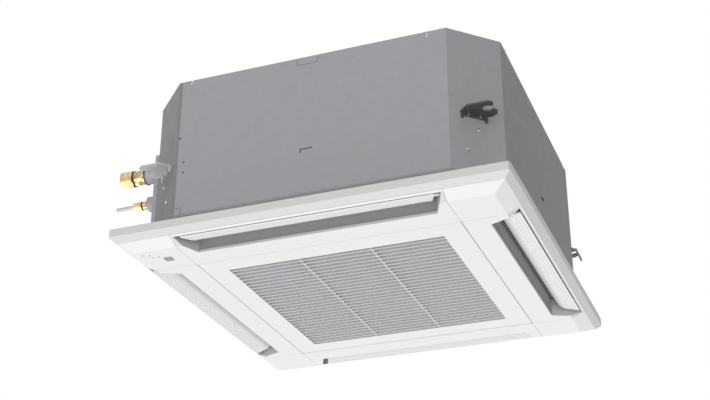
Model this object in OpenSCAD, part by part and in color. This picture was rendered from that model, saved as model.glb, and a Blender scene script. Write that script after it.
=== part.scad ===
/* [Panel] */
// Width of the square decorative panel
panel_w = 625; // [615:1:640]
// Height of the panel's rim top, at the ceiling, above its flat underside
panel_h = 31; // [29:0.5:36]
// Height of the rim's upright edge
rim_h = 13; // [8:0.5:14]
// Width of the rim band outside the seam
rim_band_w = 9.5; // [8:0.5:12]
// Rise of the bevel at the rim band's seam
bevel_rise = 10; // [8:0.5:12]
// Width of the bevel, from the flat underside's crease to the seam
bevel_w = 22; // [20:0.5:24]
// Corner radius of the rim
rim_corner_r = 3.5; // [2:0.5:12]
// Wall of the panel mouldings
panel_wall = 2.5; // [2:0.1:3]
// Gap along the seams between the panel's pieces
seam_gap = 0.4; // [0.3:0.1:0.8]

/* [Intake grille] */
// Width of the square intake grille
grille_w = 425; // [415:1:430]
// Width of the slatted opening
slat_field_w = 350; // [330:5:360]
// Distance from one slat to the next
slat_pitch = 12.35; // [10:0.05:16]
// Height of a slat
slat_h = 9; // [6:0.5:10]
// Thickness of a slat
slat_t = 2.2; // [1.6:0.1:2.6]
// Lean of the slats
slat_lean = 35; // [20:1:45]
// Distance of the two cross bars from the centre line
bar_offset = 58; // [40:1:80]
// Height of the grille's raised edge
grille_edge_h = 14; // [10:1:16]
// Radius of the grille's hinge pins
hinge_pin_r = 1.5; // [1.2:0.1:1.8]
// Distance of the two latches from the centre line
latch_offset = 110; // [60:5:160]

/* [Outlets and vanes] */
// Distance of an outlet's inner edge from the centre
outlet_in = 251; // [248:0.5:254]
// Width of an outlet between its inner edge and its outer lip
outlet_w = 47.5; // [45:0.5:48]
// Half length of an outlet at its inner edge
outlet_half = 189; // [180:1:191]
// Depth of the air passage in the drain pan and the panel's top
passage_w = 33; // [31:0.5:33.5]
// Thickness of a guide vane
vane_t = 2.6; // [2:0.1:3]
// Radius of the bend in a guide vane
vane_bend_r = 18; // [16:0.5:20]
// Slope of a closed vane's outer blade
vane_tilt = 8; // [6:0.5:10]
// Slope of a closed vane's inner blade
vane_rise_angle = 60; // [55:1:65]
// Radius of the vane's pivot pins
vane_pin_r = 3; // [2.5:0.1:3.5]
// Radius of a vane motor
vane_motor_r = 8.5; // [7:0.5:9]

/* [Casing] */
// Width of the square casing
casing_w = 575; // [570:1:580]
// Height of the casing
casing_h = 252; // [248:1:280]
// Cut of the casing's corners, measured along a side
casing_cut = 66; // [60:1:70]
// Thickness of the casing's sheet
sheet_t = 1; // [0.8:0.1:1.2]
// Thickness of the foam liner
liner_t = 2.4; // [2:0.1:2.8]

/* [Hangers] */
// Distance between the suspension bolts along X
bolt_pitch_x = 550; // [545:1:555]
// Distance between the suspension bolts along Y
bolt_pitch_y = 540; // [535:1:545]
// Radius of a hook's round seat
hook_r = 8; // [6.5:0.25:8.5]
// Width of a hook's mouth
hook_mouth = 10.8; // [10:0.1:11]
// Height of the hooks above the panel's flat underside
hook_z = 146; // [130:1:170]
// Thickness of the hanger plates
hook_t = 2.5; // [2:0.1:3.2]

/* [Pipes] */
// Distance of both pipes from the centre line, towards the near side
pipe_offset = 200; // [190:1:205]
// Height of the gas pipe above the panel's flat underside
gas_z = 178.5; // [174:0.5:200]
// Height of the liquid pipe above the panel's flat underside
liquid_z = 126; // [115:0.5:130]
// Outer diameter of the gas tube
gas_tube_d = 12.7; // [9.52:0.01:15.88]
// Width across the gas nut's flats
gas_nut_af = 27; // [24:1:29]
// Outer diameter of the liquid tube
liquid_tube_d = 6.35; // [6.35:0.01:9.52]
// Width across the liquid nut's flats
liquid_nut_af = 14; // [13:0.5:20]
// Outer diameter of the drain socket
drain_d = 26; // [25:0.5:32]

/* [Fan and coil] */
// Diameter of the turbo fan
fan_d = 360; // [340:2:380]
// Height of the turbo fan's blades
fan_h = 118; // [100:2:124]
// Number of fan blades
fan_blades = 7; // [5:1:9]
// Radius of the motor
motor_r = 62; // [50:1:66]
// Height of the motor
motor_h = 76; // [60:1:80]
// Radius of the motor shaft
shaft_r = 5; // [4:0.5:6]
// Distance of the coil's outer face from the centre
coil_out = 236; // [232:1:238]
// Thickness of the coil
coil_t = 26; // [22:1:28]
// Height of the coil
coil_h = 204; // [180:1:206]
// Radius of the coil tubes
coil_tube_r = 3.5; // [3:0.1:4]
// Thickness of the foam drain pan
pan_h = 41; // [38:1:44]
// Radius of the bell mouth's throat
throat_r = 138; // [125:1:140]

/* [Hidden] */
$fn = 64;

// Overshoot of a cut past the face that it opens
cut = 1;
// Gap between pieces that move past each other
clear = 0.3;
// Radial clearance of a pin that turns in its bore
running = 0.05;
// Overlap of two shapes of one piece that would otherwise only touch
join = 0.3;

// Colours as the photograph shows them
panel_white = [0.93, 0.92, 0.92];
sheet_grey = [0.63, 0.63, 0.65];
bracket_grey = [0.3, 0.3, 0.31];
brass = [0.78, 0.6, 0.3];
steel = [0.72, 0.72, 0.74];
foam_white = [0.9, 0.9, 0.88];
dark_plastic = [0.2, 0.2, 0.22];

// Panel levels and outlines
panel_half = panel_w / 2;
seam_r = panel_half - rim_band_w;
crease_r = seam_r - bevel_w;
rim_low_z = panel_h - rim_h;
grille_half = grille_w / 2;
tub_top = grille_edge_h + 10;
opening_half = slat_field_w / 2 + 15;

// Outlet duct outline
outlet_out = outlet_in + outlet_w;
passage_out = outlet_in + passage_w;
end_slant = 0.42;
duct_wall = 2;
duct_bend_z = 20;

// Vane section, seen along the vane
vane_edge_r = outlet_out - 2;
vane_edge_z = 6.4;
vane_flat_w = 20.7;
vane_rise_w = 16;
vane_bend = [vane_edge_r - vane_flat_w * cos(vane_tilt), vane_edge_z + vane_flat_w * sin(vane_tilt)];
bend_centre = vane_bend + vane_bend_r * [sin(vane_tilt), cos(vane_tilt)];
rise_start = bend_centre - vane_bend_r * [sin(vane_rise_angle), cos(vane_rise_angle)];
pivot_r = vane_bend.x + 1.5;
pivot_z = vane_bend.y + 8;
vane_end_gap = 1.5;
vane_half = outlet_half - vane_end_gap;
vane_ear_t = 3;
// Wall of a vane's ear round its pivot pin, and how far the ear lies in from the vane's end
ear_wall = 2.5;
ear_inset = 1;
// Turn, foot length and top of the ear's filling in the bend
ear_turn = 25;
ear_foot_l = 12;
ear_top_half = 4;
ear_top_rise = 3;
groove_pitch = 5.2;
groove_count = 4;
groove_w = 0.8;
groove_depth = 0.4;
block_face = outlet_half + 18;
vane_motor_l = 14;
motor_recess = 2;
motor_recess_gap = 1;
block_half = vane_motor_r + 1;

// Casing levels and outlines
seal_t = 3;
casing_low = panel_h + seal_t;
casing_half = casing_w / 2;
casing_top = casing_low + casing_h;
casing_in = casing_half - sheet_t;
liner_in = casing_in - liner_t;
skirt_h = 12;
// Distance of a cut corner's face from the centre, along the diagonal
cut_face = (casing_w - casing_cut) / sqrt(2);

// Drain pan, bell mouth, coil and fan levels
pan_top = casing_low + pan_h;
trough_z = pan_top - 17;
trough_gap = 4;
coil_in = coil_out - coil_t;
coil_open = 150;
coil_corner_r = 40;
pan_open = coil_in - 18;
pan_step = 8;
pan_corner_r = 20;
pan_gap = 0.5;
pan_screw_depth = 12;
mouth_lift = 28;
mouth_z = casing_low + mouth_lift;
mouth_t = 2.5;
mouth_curve_max = 30;
fan_lift = 38;
fan_r = fan_d / 2;
fan_low = mouth_z + fan_lift;
fan_top = fan_low + fan_h;
hub_t = 3;
dome_r = motor_r + 16;
dome_low = fan_top - 60;
motor_low = dome_low + 20;
motor_top = motor_low + motor_h;
mount_ring_r = motor_r + 14;
top_plate_z = casing_top - sheet_t;

// Pipe pieces along X, left of the casing
cover_proud = 7;
cover_face = -casing_half - cover_proud;
gas_nut_face = -casing_half - 54.5;
gas_nut_w = 21.6;
gas_bore_l = 12;
gas_thread_r = 9.5;
liquid_nut_face = -casing_half - 36.5;
liquid_nut_w = 15;
liquid_bore_l = 6;
liquid_thread_r = 5;
stub_end = -casing_half - 83.5;

// Receiver and its lamps, set out from the middle of the near-left corner cover
cover_mid = (seam_r + grille_half) / 2 * [-1, -1];
receiver_at = cover_mid + [14.75, 12.25];
receiver_w = 14.5;
lamp_spots = [for (step = [[-6.25, 0.75], [3.75, 0.75], [-7.25, -8.25]]) cover_mid + step];
lamp_r = 1.4;
button_at = cover_mid - [18.25, 11.25];
button_r = 1.8;
// Collar that holds the button behind the cover's face
button_collar_t = 0.8;
button_collar_w = 1.2;
// How far the window and the lamps lie behind the face, and the gap before the board
window_sink = 0.3;
lamp_sink = 0.2;
board_gap = 0.2;
button_travel = 1;
board_z = 8;
board_t = 1.6;
board_size = [50, 40];
board_corner = receiver_at - [41, 30.5];

// Grille's hinge, latches and filter
hinge_z = 2.6;
hinge_y = grille_half - seam_gap - 2.6;
hinge_pin_l = 4.5;
slat_foot = 2.6;
slat_start = 0.4;
bar_w = 3;
bar_h = 7;
bar_mid_z = 5;
latch_w = 24;
latch_case_wall = 2;
latch_tab_gap = 1;
latch_t = 3;
latch_z = 5;
latch_l = 0.593 * (grille_half - seam_gap - slat_field_w / 2);
latch_tab_w = 8;
latch_tab_l = latch_l / 5.5;
latch_tab_y = latch_l * 0.4;
latch_travel = 3.5;
filter_t = 2.5;
filter_z = slat_h + 1.5;
filter_lip = 1.2;
filter_border = 5;
filter_net_t = 0.6;
filter_rib_w = 2;
filter_rib_drop = 0.5;

// Panel screws and the corner flanges that take them
screw_at = 236;
screw_r = 2.5;
screw_head_r = 5;
screw_head_z = 16;
screw_head_t = 3;
screw_key_r = 2.2;
screw_reach = 7;
screw_room = 1;
boss_r = 7;
flange_w = 22;
flange_t = 2;
ledge_hole_at = grille_half + 6;
ledge_hole_w = seam_r - ledge_hole_at - 13;
ledge_overlap = 4;
grille_recess_h = grille_edge_h + 8;

// Fan inlet, hub and mounts
// How far the mouth's tube reaches into the fan's ring, and the blades' foot above that
mouth_reach = 2;
blade_foot = mouth_reach + 1;
mouth_curve_r = min(mouth_curve_max, pan_open - throat_r - pan_step);
shroud_r = throat_r + 5;
blade_in = shroud_r - 35;
// Fan shroud: thickness at the throat, rise to the rim and height where it meets the throat
shroud_t = 2.5;
shroud_rise = 18;
shroud_neck_h = 4;
// Fan hub: widths of the dome's slope at its foot and top, and the shaft's boss
dome_foot_w = 11;
dome_top_w = 2;
dome_inner_w = 14;
shaft_boss_low_w = 10;
shaft_boss_top_w = 8;
shaft_boss_h = 8;
// Fan blade: radius of its curve and the curve's centre as shares of the fan's radius and its own
blade_curve = 0.62;
blade_centre_out = 0.55;
blade_centre_side = 0.8;
blade_t = 2.2;
blade_lift = 2;
nut_h = 7.8;
nut_r = 9.5;
nut_gap = 0.2;
shaft_stub = 12;
mount_neck_r = 5;
mount_r = 10;
mount_washer_r = 9;
mount_washer_t = 4;
mount_neck_l = 6;
lug_t = 4;
lug_w = 12;
lug_gap = 0.2;
// Stiffening ring pressed into the top plate outside the motor's mounts
ring_in_w = 14;
ring_out_w = 22;
ring_drop = 2;
// Casing screw: head and the point past the sheet
sheet_screw_head_h = 1.6;
sheet_screw_head_r = 3.2;
sheet_screw_point = 0.8;
// Keeper strip beside the far-right hook
keeper_at = 11.6;
keeper_t = 2;
keeper_l = 48;
keeper_h = 6;
keeper_start = 12;

// Coil tubes: rows, pitch and the return bends that stand out of the ends
coil_rows = 8;
coil_row_pitch = coil_h / coil_rows;
coil_stub = 4;
coil_bend_r = 6.5;
coil_end_depth = 20;
end_plate_t = 1;
end_plate_gap = 0.2;
end_plate_border = 2;
end_plate_hole_l = 5;

// Drain pump and float, in the pan's near-left corner
sump_at = 212;
sump_r = 26;
pump_r = 19;
float_at = [-181, -222];
float_r = 8;
float_rod_r = 2.5;
float_travel = 12;
float_h = 13;
float_foot_h = 2;
float_rod_l = float_foot_h + float_h + float_travel + 9;
pump_foot_drop = 8;
pump_foot_h = 10;
pump_foot_r = 12;
pump_stem_h = 30;
pump_stem_r = 7;
pump_can_z = 28;
pump_can_h = 50;
pump_cap_z = 76;
pump_cap_h = 12;
pump_cap_step = 5;
pump_arm_z = 36;
pump_arm_w = 8;
pump_arm_t = 3;
drain_y = -90;
drain_z = 200;
drain_l = 30;
drain_wall = 2.5;
drain_collar_t = 2.5;
drain_collar_w = 4;
drain_inside_l = 6;

// Control box under the bell mouth's far edge
box_l = 250;
box_w = 42;
box_h = 22;
box_y = pan_open - pan_step - box_w - clear;
box_low = mouth_z - box_h - clear;
lid_h = 9;
lid_gap = 0.1;
tube_clear = 0.1;
tube_wall = 0.8;
// Radial clearance of a piece that is pressed, screwed or glued into another
seat = 0.02;
nut_chamfer = 1.6;
// Gap between a flare nut and the body of its union
body_gap = 2.5;
gas_body_less = 3;
liquid_body_more = 1.5;
union_wall = 1;

// Hanger plate outline, from the hook's centre at the near-right corner
hook_outline = [[-40.5, -4.5], [-26, -18.8], [5.5, -18.8], [11.5, -12.7], [9.5, -5.4],
    [9.3, 8.2], [11.6, 10.5], [9.2, 19.4], [-0.9, 25.4], [-9.1, 24.1]];
rivet_r = 1.5;
rivet_head_r = 2.2;
rivet_head_t = 1.2;
rivet_spots = [-16.3, 4.2];
rivet_z = hook_z - hook_t / 2 - rivet_head_r - clear;
flange_reach = 27.5;
flange_back = 16.5;
flange_low = rivet_z - rivet_head_r - clear;
tab_w = 3.5;
tab_drop = 4;

// Screws of the cut corners' faces, as distance along the face and height
corner_screws = [[3.2, 121], [-16.6, 86.5]];

// Screws along the casing's upper edge, as distance along the wall and height
edge_screws = [[-casing_half + 87.5, casing_top - 4], [casing_half - 96, casing_top - 7]];
screw_hole_r = 2;
// Small holes of the near wall
pilot_spots = [[-214, 183], [-205.5, 140], [-205.5, 121.5], [-217.3, 65.4]];
pilot_r = 1.5;
// Bent slit near the middle of the near wall
slit_left = -11;
slit_l = 20;
slit_w = 1.6;
slit_z = 123.4;
slit_drop = 5.4;
// Knock-out tab at the middle of the near wall's upper edge
line_w = 0.8;
tab_left = -18.8;
tab_l = 35;
tab_z = casing_top - 13;
tab_h = 10;
// Tab low on the near wall's left
low_tab = [-217, 61];
low_tab_w = 11.5;
low_tab_h = 17;
// Slot of the right wall
side_slot_y = 0;
side_slot_l = 16;
side_slot_z = 125;
side_slot_w = 6;

// Pipe bosses and the pressed cover's lower edge
gas_boss_r = 13.5;
gas_boss_l = 23.5;
liquid_boss_r = 12.5;
liquid_boss_l = 16.5;
neck_in = -casing_half + 14;
cover_low = casing_low + 11;
cover_top = gas_z + 24;
cover_w = 45;
cover_gap = 0.5;
cover_skin = 2;

// Puts a shape that is drawn above the panel's flat underside into the part's own frame
module lift() {
    translate([0, 0, -hook_z]) children();
}

// One copy for each of the four sides
module four_sides() {
    for (turn = [0 : 90 : 270]) rotate([0, 0, turn]) children();
}

// One copy for each of the four corners, mirrored so that the copies match across both centre planes
module four_corners() {
    for (side_x = [0, 1], side_y = [0, 1])
        mirror([side_x, 0, 0]) mirror([0, side_y, 0]) children();
}

// A section drawn as distance from the centre against height, run along Y
module along_side(length) {
    rotate([90, 0, 0]) linear_extrude(length, center = true) children();
}

// A square with round corners, about the centre
module rounded_square(half, r) {
    difference() {
        square(2 * half, center = true);
        four_corners() translate([half - r, half - r]) difference() {
            square(r + cut);
            circle(r);
        }
    }
}

// A square with cut corners, about the centre
module cut_square(half, corner_cut) {
    far = half - corner_cut;
    polygon([[half, -far], [half, far], [far, half], [-far, half],
        [-half, far], [-half, -far], [-far, -half], [far, -half]]);
}

// Solid with the panel's outer outline, drawn in by a wall's thickness
module panel_block(inset, top) {
    outline = [[panel_half - inset, top], [panel_half - inset, rim_low_z + inset / 2],
        [seam_r - inset / 2, bevel_rise + inset], [crease_r - inset / 2, inset]];
    section = concat(outline, [for (i = [3 : -1 : 0]) [-outline[i].x, outline[i].y]]);
    intersection() {
        along_side(panel_w) polygon(section);
        rotate([0, 0, 90]) along_side(panel_w) polygon(section);
        linear_extrude(panel_h + 2 * cut) rounded_square(panel_half - inset, rim_corner_r);
    }
}

// Half length of an outlet at a distance from the centre
function outlet_half_at(r) = outlet_half + (r - outlet_in) * end_slant;

// Solid that fills one outlet duct, grown by a wall's thickness
module outlet_block(grow, low, top) {
    inner = outlet_in - grow;
    outer = outlet_out + grow;
    throat = passage_out + grow;
    section = [[inner, low], [outer, low], [outer, duct_bend_z], [throat, panel_h - duct_wall],
        [throat, top], [inner, top]];
    intersection() {
        along_side(panel_w) polygon(section);
        translate([0, 0, low]) linear_extrude(top - low) outlet_plan(grow, inner, outer);
    }
}

// Air passage above a duct's narrow end
module passage_block(low, top) {
    translate([0, 0, low]) linear_extrude(top - low) outlet_plan(0, outlet_in, passage_out);
}

// Plan of an outlet, with its slanted ends
module outlet_plan(grow, inner, outer) {
    near_end = outlet_half_at(inner) + grow;
    far_end = outlet_half_at(outer) + grow;
    polygon([[inner, -near_end], [outer, -far_end], [outer, far_end], [inner, near_end]]);
}

module panel_frame() color(panel_white) lift() {
    difference() {
        union() {
            difference() {
                panel_block(0, panel_h);
                panel_block(panel_wall, panel_h + cut);
            }
            corner_ledges();
            intersection() {
                panel_block(0, panel_h);
                union() {
                    grille_tub();
                    four_sides() {
                        outlet_block(duct_wall, 0, panel_h);
                        for (end = [-1, 1]) bearing_block(end);
                    }
                }
            }
            four_corners() screw_boss();
        }
        translate([0, 0, -cut]) linear_extrude(grille_recess_h + cut) square(grille_w, center = true);
        translate([0, 0, -cut]) linear_extrude(panel_h + 2 * cut) square(2 * opening_half, center = true);
        four_sides() {
            outlet_block(0, -cut, panel_h + cut);
            for (end = [-1, 1]) vane_bore(end);
            seam_groove();
        }
        four_corners() {
            corner_pocket();
            screw_bore();
        }
        hinge_bores();
        latch_slots();
    }
}

// Upright walls and floor round the grille's recess, and the rim of the air opening
module grille_tub() {
    difference() {
        linear_extrude(tub_top) square(grille_w + 2 * panel_wall, center = true);
        translate([0, 0, -cut]) linear_extrude(tub_top - panel_wall + cut) square(grille_w, center = true);
    }
    linear_extrude(panel_h) square(2 * (opening_half + panel_wall), center = true);
}

// Block at a duct's end wall that carries a vane's pivot pin
module bearing_block(end) {
    inner_end = outlet_half_at(pivot_r - block_half);
    depth = block_face - inner_end;
    mirror([0, end < 0 ? 1 : 0, 0])
        translate([pivot_r - block_half, inner_end, pivot_z - block_half])
            cube([2 * block_half, depth, 2 * block_half]);
}

module vane_bore(end) {
    translate([pivot_r, end * (block_face + cut), pivot_z]) rotate([90 * end, 0, 0])
        cylinder(h = block_face - outlet_half + cut, r = vane_pin_r + running);
}

// Fine groove along a side strip at the rim band's seam
module seam_groove() {
    translate([seam_r - seam_gap / 2, -grille_half, bevel_rise - cut])
        cube([seam_gap, grille_w, cut + 1]);
}

// Lip behind the corner covers
module corner_ledges() {
    difference() {
        panel_block(0, panel_h);
        panel_block(2 * panel_wall + clear, panel_h + cut);
        four_corners() translate([ledge_hole_at, ledge_hole_at, -cut])
            cube([ledge_hole_w, ledge_hole_w, panel_h]);
        for (turn = [0, 90]) rotate([0, 0, turn]) translate([0, 0, -cut])
            linear_extrude(panel_h) square([panel_w, 2 * (grille_half - ledge_overlap)], center = true);
    }
}

// Space of a corner cover, cut through the panel's face
module corner_pocket() {
    start = grille_half - seam_gap / 2;
    intersection() {
        translate([start, start, -cut]) cube([seam_r - start, seam_r - start, panel_h]);
        difference() {
            translate([0, 0, -cut]) linear_extrude(panel_h) square(panel_w, center = true);
            panel_block(panel_wall + clear / 2, panel_h + cut);
        }
    }
}

// Tube for a panel screw, tied to the tub's corner by a rib
module screw_boss() {
    low = panel_wall + clear;
    translate([screw_at, screw_at, low]) cylinder(h = panel_h - low, r = boss_r);
    rotate([0, 0, 45]) translate([grille_half * sqrt(2), -panel_wall, low])
        cube([(screw_at - grille_half) * sqrt(2), 2 * panel_wall, tub_top - low]);
}

module screw_bore() {
    translate([screw_at, screw_at, -cut]) {
        cylinder(h = panel_h + 2 * cut, r = screw_r + clear);
        cylinder(h = screw_head_z + cut, r = screw_head_r + clear);
    }
}

module hinge_bores() {
    for (end = [-1, 1]) translate([end * (grille_half - cut), hinge_y, hinge_z])
        rotate([0, 90 * end, 0]) cylinder(h = hinge_pin_l + cut + clear, r = hinge_pin_r + running);
}

module latch_slots() {
    for (x = [-latch_offset, latch_offset])
        translate([x - latch_w / 2 - clear, -grille_half - panel_wall - cut, latch_z - clear])
            cube([latch_w + 2 * clear, panel_wall + 2 * cut, latch_t + 2 * clear]);
}

// One corner cover: a shell that follows the flat and the bevel, with a rib at each inner edge
module corner_cover() {
    side = seam_r - grille_half - seam_gap;
    intersection() {
        translate([grille_half + seam_gap / 2, grille_half + seam_gap / 2, 0]) cube([side, side, panel_h]);
        difference() {
            panel_block(0, panel_h);
            panel_block(panel_wall, panel_h + cut);
        }
    }
}

module corner_cover_near_right() color(panel_white) lift() mirror([0, 1, 0]) corner_cover();
module corner_cover_far_right() color(panel_white) lift() corner_cover();
module corner_cover_far_left() color(panel_white) lift() mirror([1, 0, 0]) corner_cover();
module corner_cover_near_left() color(panel_white) lift() difference() {
    rotate([0, 0, 180]) corner_cover();
    translate([receiver_at.x, receiver_at.y, panel_wall / 2])
        cube([receiver_w, receiver_w, 2 * panel_wall], center = true);
    for (spot = lamp_spots) translate([spot.x, spot.y, -cut]) cylinder(h = 2 * panel_wall, r = lamp_r);
    translate([button_at.x, button_at.y, -cut]) cylinder(h = 2 * panel_wall, r = button_r + clear);
}

// Section of a vane: outer blade, bend and inner blade
module vane_section() {
    translate(vane_bend) rotate(-vane_tilt) translate([-join, 0]) square([vane_flat_w + join, vane_t]);
    intersection() {
        difference() {
            translate(bend_centre) circle(vane_bend_r);
            translate(bend_centre) circle(vane_bend_r - vane_t);
        }
        polygon([bend_centre, bend_centre + 2 * (vane_bend - bend_centre),
            bend_centre + 2 * (vane_bend - bend_centre) + 2 * (rise_start - bend_centre),
            bend_centre + 2 * (rise_start - bend_centre)]);
    }
    translate(rise_start) rotate(180 - vane_rise_angle) translate([-join, -vane_t])
        square([vane_rise_w + join, vane_t]);
}

// One guide vane, drawn on the right-hand side
module vane() {
    ear_face = vane_half - ear_inset;
    difference() {
        along_side(2 * vane_half) vane_section();
        for (i = [0 : groove_count - 1])
            translate([vane_bend.x, 0, vane_bend.y]) rotate([0, vane_tilt, 0])
                translate([i * groove_pitch, -panel_half, -cut])
                    cube([groove_w, panel_w, cut + groove_depth]);
    }
    for (end = [-1, 1]) {
        translate([0, end * (ear_face - vane_ear_t / 2), 0]) vane_ear();
        translate([pivot_r, end * (ear_face - vane_ear_t), pivot_z]) rotate([-90 * end, 0, 0])
            cylinder(h = block_face - ear_face + vane_ear_t - (end > 0 ? 0 : clear), r = vane_pin_r);
    }
}

// Ear that carries a pivot pin, filling the bend of the vane
module vane_ear() {
    along_side(vane_ear_t) {
        translate([pivot_r, pivot_z]) circle(vane_pin_r + ear_wall);
        polygon([bend_centre - (vane_bend_r - vane_t / 2) *
            [sin(vane_tilt + ear_turn), cos(vane_tilt + ear_turn)],
            vane_bend + [0, vane_t / 2], vane_bend + [ear_foot_l, vane_t / 2 - 1],
            [pivot_r + ear_top_half, pivot_z + ear_top_rise],
                [pivot_r - ear_top_half, pivot_z + ear_top_rise]]);
    }
}

module vane_right() color(panel_white) lift() vane();
module vane_far() color(panel_white) lift() rotate([0, 0, 90]) vane();
module vane_left() color(panel_white) lift() rotate([0, 0, 180]) vane();
module vane_near() color(panel_white) lift() rotate([0, 0, 270]) vane();

// Small geared motors on the bearing blocks
module vane_motors() color(dark_plastic) lift() four_sides()
    translate([pivot_r, block_face, pivot_z]) rotate([-90, 0, 0]) {
        difference() {
            cylinder(h = vane_motor_l, r = vane_motor_r);
            translate([0, 0, -cut]) cylinder(h = motor_recess + cut, r = vane_pin_r + motor_recess_gap);
        }
    }

// A section drawn as Y against Z, run along X about the centre
module along_x(length) {
    rotate([90, 0, 90]) linear_extrude(length, center = true) children();
}

module intake_grille() color(panel_white) lift() {
    edge = grille_half - seam_gap;
    field = slat_field_w / 2;
    difference() {
        union() {
            difference() {
                grille_outline(edge, grille_edge_h);
                translate([0, 0, panel_wall]) linear_extrude(panel_h)
                    square(2 * (edge - panel_wall), center = true);
            }
            linear_extrude(filter_z + filter_t) square(2 * (field + panel_wall), center = true);
            for (x = [-latch_offset, latch_offset]) latch_housing(x, edge);
        }
        translate([0, 0, -cut]) linear_extrude(panel_h) square(2 * field, center = true);
        translate([0, 0, filter_z]) linear_extrude(panel_h)
            square(2 * (field + panel_wall - filter_lip), center = true);
        for (x = [-latch_offset, latch_offset]) latch_space(x, edge);
    }
    slats(field);
    for (end = [-1, 1]) {
        translate([end * bar_offset, 0, bar_mid_z]) cube([bar_w, 2 * field, bar_h], center = true);
        translate([end * (edge - cut), hinge_y, hinge_z]) rotate([0, 90 * end, 0])
            cylinder(h = hinge_pin_l + cut, r = hinge_pin_r);
    }
}

// The grille's block, with its far lower edge rounded about the hinge pins
module grille_outline(edge, top) {
    round_r = edge - hinge_y;
    intersection() {
        linear_extrude(top) square(2 * edge, center = true);
        along_x(grille_w) {
            translate([hinge_y, hinge_z]) circle(round_r);
            polygon([[-edge, 0], [hinge_y, 0], [hinge_y, hinge_z], [edge, hinge_z],
                [edge, top], [-edge, top]]);
        }
    }
}

// Slats along X: wide at the foot, narrow and leaning at the top
module slats(field) {
    count = floor(2 * field / slat_pitch);
    lean = slat_h * tan(slat_lean) / 2;
    for (i = [0 : count - 1])
        translate([0, (i - (count - 1) / 2) * slat_pitch, 0])
            along_x(2 * field + cut) polygon([[-slat_foot, slat_start], [slat_foot, slat_start],
                [lean + slat_t / 2, slat_h], [lean - slat_t / 2, slat_h]]);
}

// Box behind the grille's near border that guides a latch
module latch_housing(x, edge) {
    translate([x - latch_w / 2 - latch_case_wall, -edge, 0])
        cube([latch_w + 2 * latch_case_wall, latch_l + latch_travel + 2 * latch_case_wall,
            latch_z + latch_t + latch_case_wall]);
}

module latch_space(x, edge) {
    translate([x - latch_w / 2 - clear, -edge - cut, latch_z - clear])
        cube([latch_w + 2 * clear, latch_l + latch_travel + cut, latch_t + 2 * clear]);
    translate([x - latch_tab_w / 2 - clear, -edge + latch_tab_y - latch_tab_gap, latch_z])
        cube([latch_tab_w + 2 * clear, latch_tab_l + latch_travel + 2 * latch_tab_gap,
            2 * latch_t + latch_case_wall]);
}

// Sliding latch with a wedge nose and a finger tab
module grille_latch(x) {
    nose = panel_wall + seam_gap - clear;
    translate([x, -grille_half + seam_gap, latch_z]) {
        along_x(latch_w) polygon([[latch_l - clear, 0], [latch_l - clear, latch_t],
            [-nose, latch_t], [-nose, latch_t - 1],
            [0, 0]]);
        translate([-latch_tab_w / 2, latch_tab_y, 0]) cube([latch_tab_w, latch_tab_l, 2 * latch_t]);
    }
}

module grille_latch_right() color(dark_plastic) lift() grille_latch(latch_offset);
module grille_latch_left() color(dark_plastic) lift() grille_latch(-latch_offset);

// Filter: a frame with cross ribs over a fine net
module air_filter() color(dark_plastic) lift() {
    half = slat_field_w / 2 + panel_wall - filter_lip - clear;
    translate([0, 0, filter_z]) {
        difference() {
            linear_extrude(filter_t) square(2 * half, center = true);
            translate([0, 0, -cut]) linear_extrude(filter_t + 2 * cut)
                square(2 * (half - filter_border), center = true);
        }
        linear_extrude(filter_net_t) square(2 * half - filter_rib_w, center = true);
        for (i = [-2 : 2], turn = [0, 90]) rotate([0, 0, turn])
            translate([i * half / 3 - filter_rib_w / 2, -half + filter_rib_w / 2, 0])
                cube([filter_rib_w, 2 * half - filter_rib_w, filter_t - filter_rib_drop]);
    }
}

module receiver_window() color(panel_white) lift()
    translate([receiver_at.x, receiver_at.y, window_sink]) linear_extrude(panel_wall)
        square(receiver_w - 2 * clear, center = true);

module indicator_lamps() color("dimgray") lift()
    for (spot = lamp_spots) translate([spot.x, spot.y, lamp_sink])
        cylinder(h = board_z - lamp_sink, r = lamp_r - tube_clear);

// Circuit board behind the receiver, with a notch round the screw boss
module receiver_board() color("darkgreen") lift() difference() {
    translate([board_corner.x, board_corner.y, board_z]) cube([board_size.x, board_size.y, board_t]);
    translate([-screw_at, -screw_at, 0]) cylinder(h = panel_h, r = boss_r + 1);
}

module manual_button() color(panel_white) lift()
    translate([button_at.x, button_at.y, 0]) {
        cylinder(h = board_z - button_travel - board_gap, r = button_r);
        translate([0, 0, panel_wall + button_travel + board_gap])
            cylinder(h = button_collar_t, r = button_r + button_collar_w);
    }

module panel_screws() color(steel) lift() four_corners()
    translate([screw_at, screw_at, screw_head_z - screw_head_t]) {
        difference() {
            cylinder(h = screw_head_t, r = screw_head_r);
            translate([0, 0, cut]) mirror([0, 0, 1]) cylinder(h = 2 * cut, r = screw_key_r, $fn = 6);
        }
        cylinder(h = casing_low + screw_reach - screw_head_z, r = screw_r);
    }

// Foam seal between the panel's ducts and the drain pan
module panel_seal() color(dark_plastic) lift() difference() {
    translate([0, 0, panel_h]) linear_extrude(seal_t) difference() {
        cut_square(passage_out + duct_wall, casing_cut);
        square(2 * opening_half, center = true);
    }
    four_sides() passage_block(panel_h - cut, casing_low + cut);
    four_corners() translate([screw_at, screw_at, 0]) cylinder(h = 2 * panel_h, r = screw_r + screw_room);
}

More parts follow.
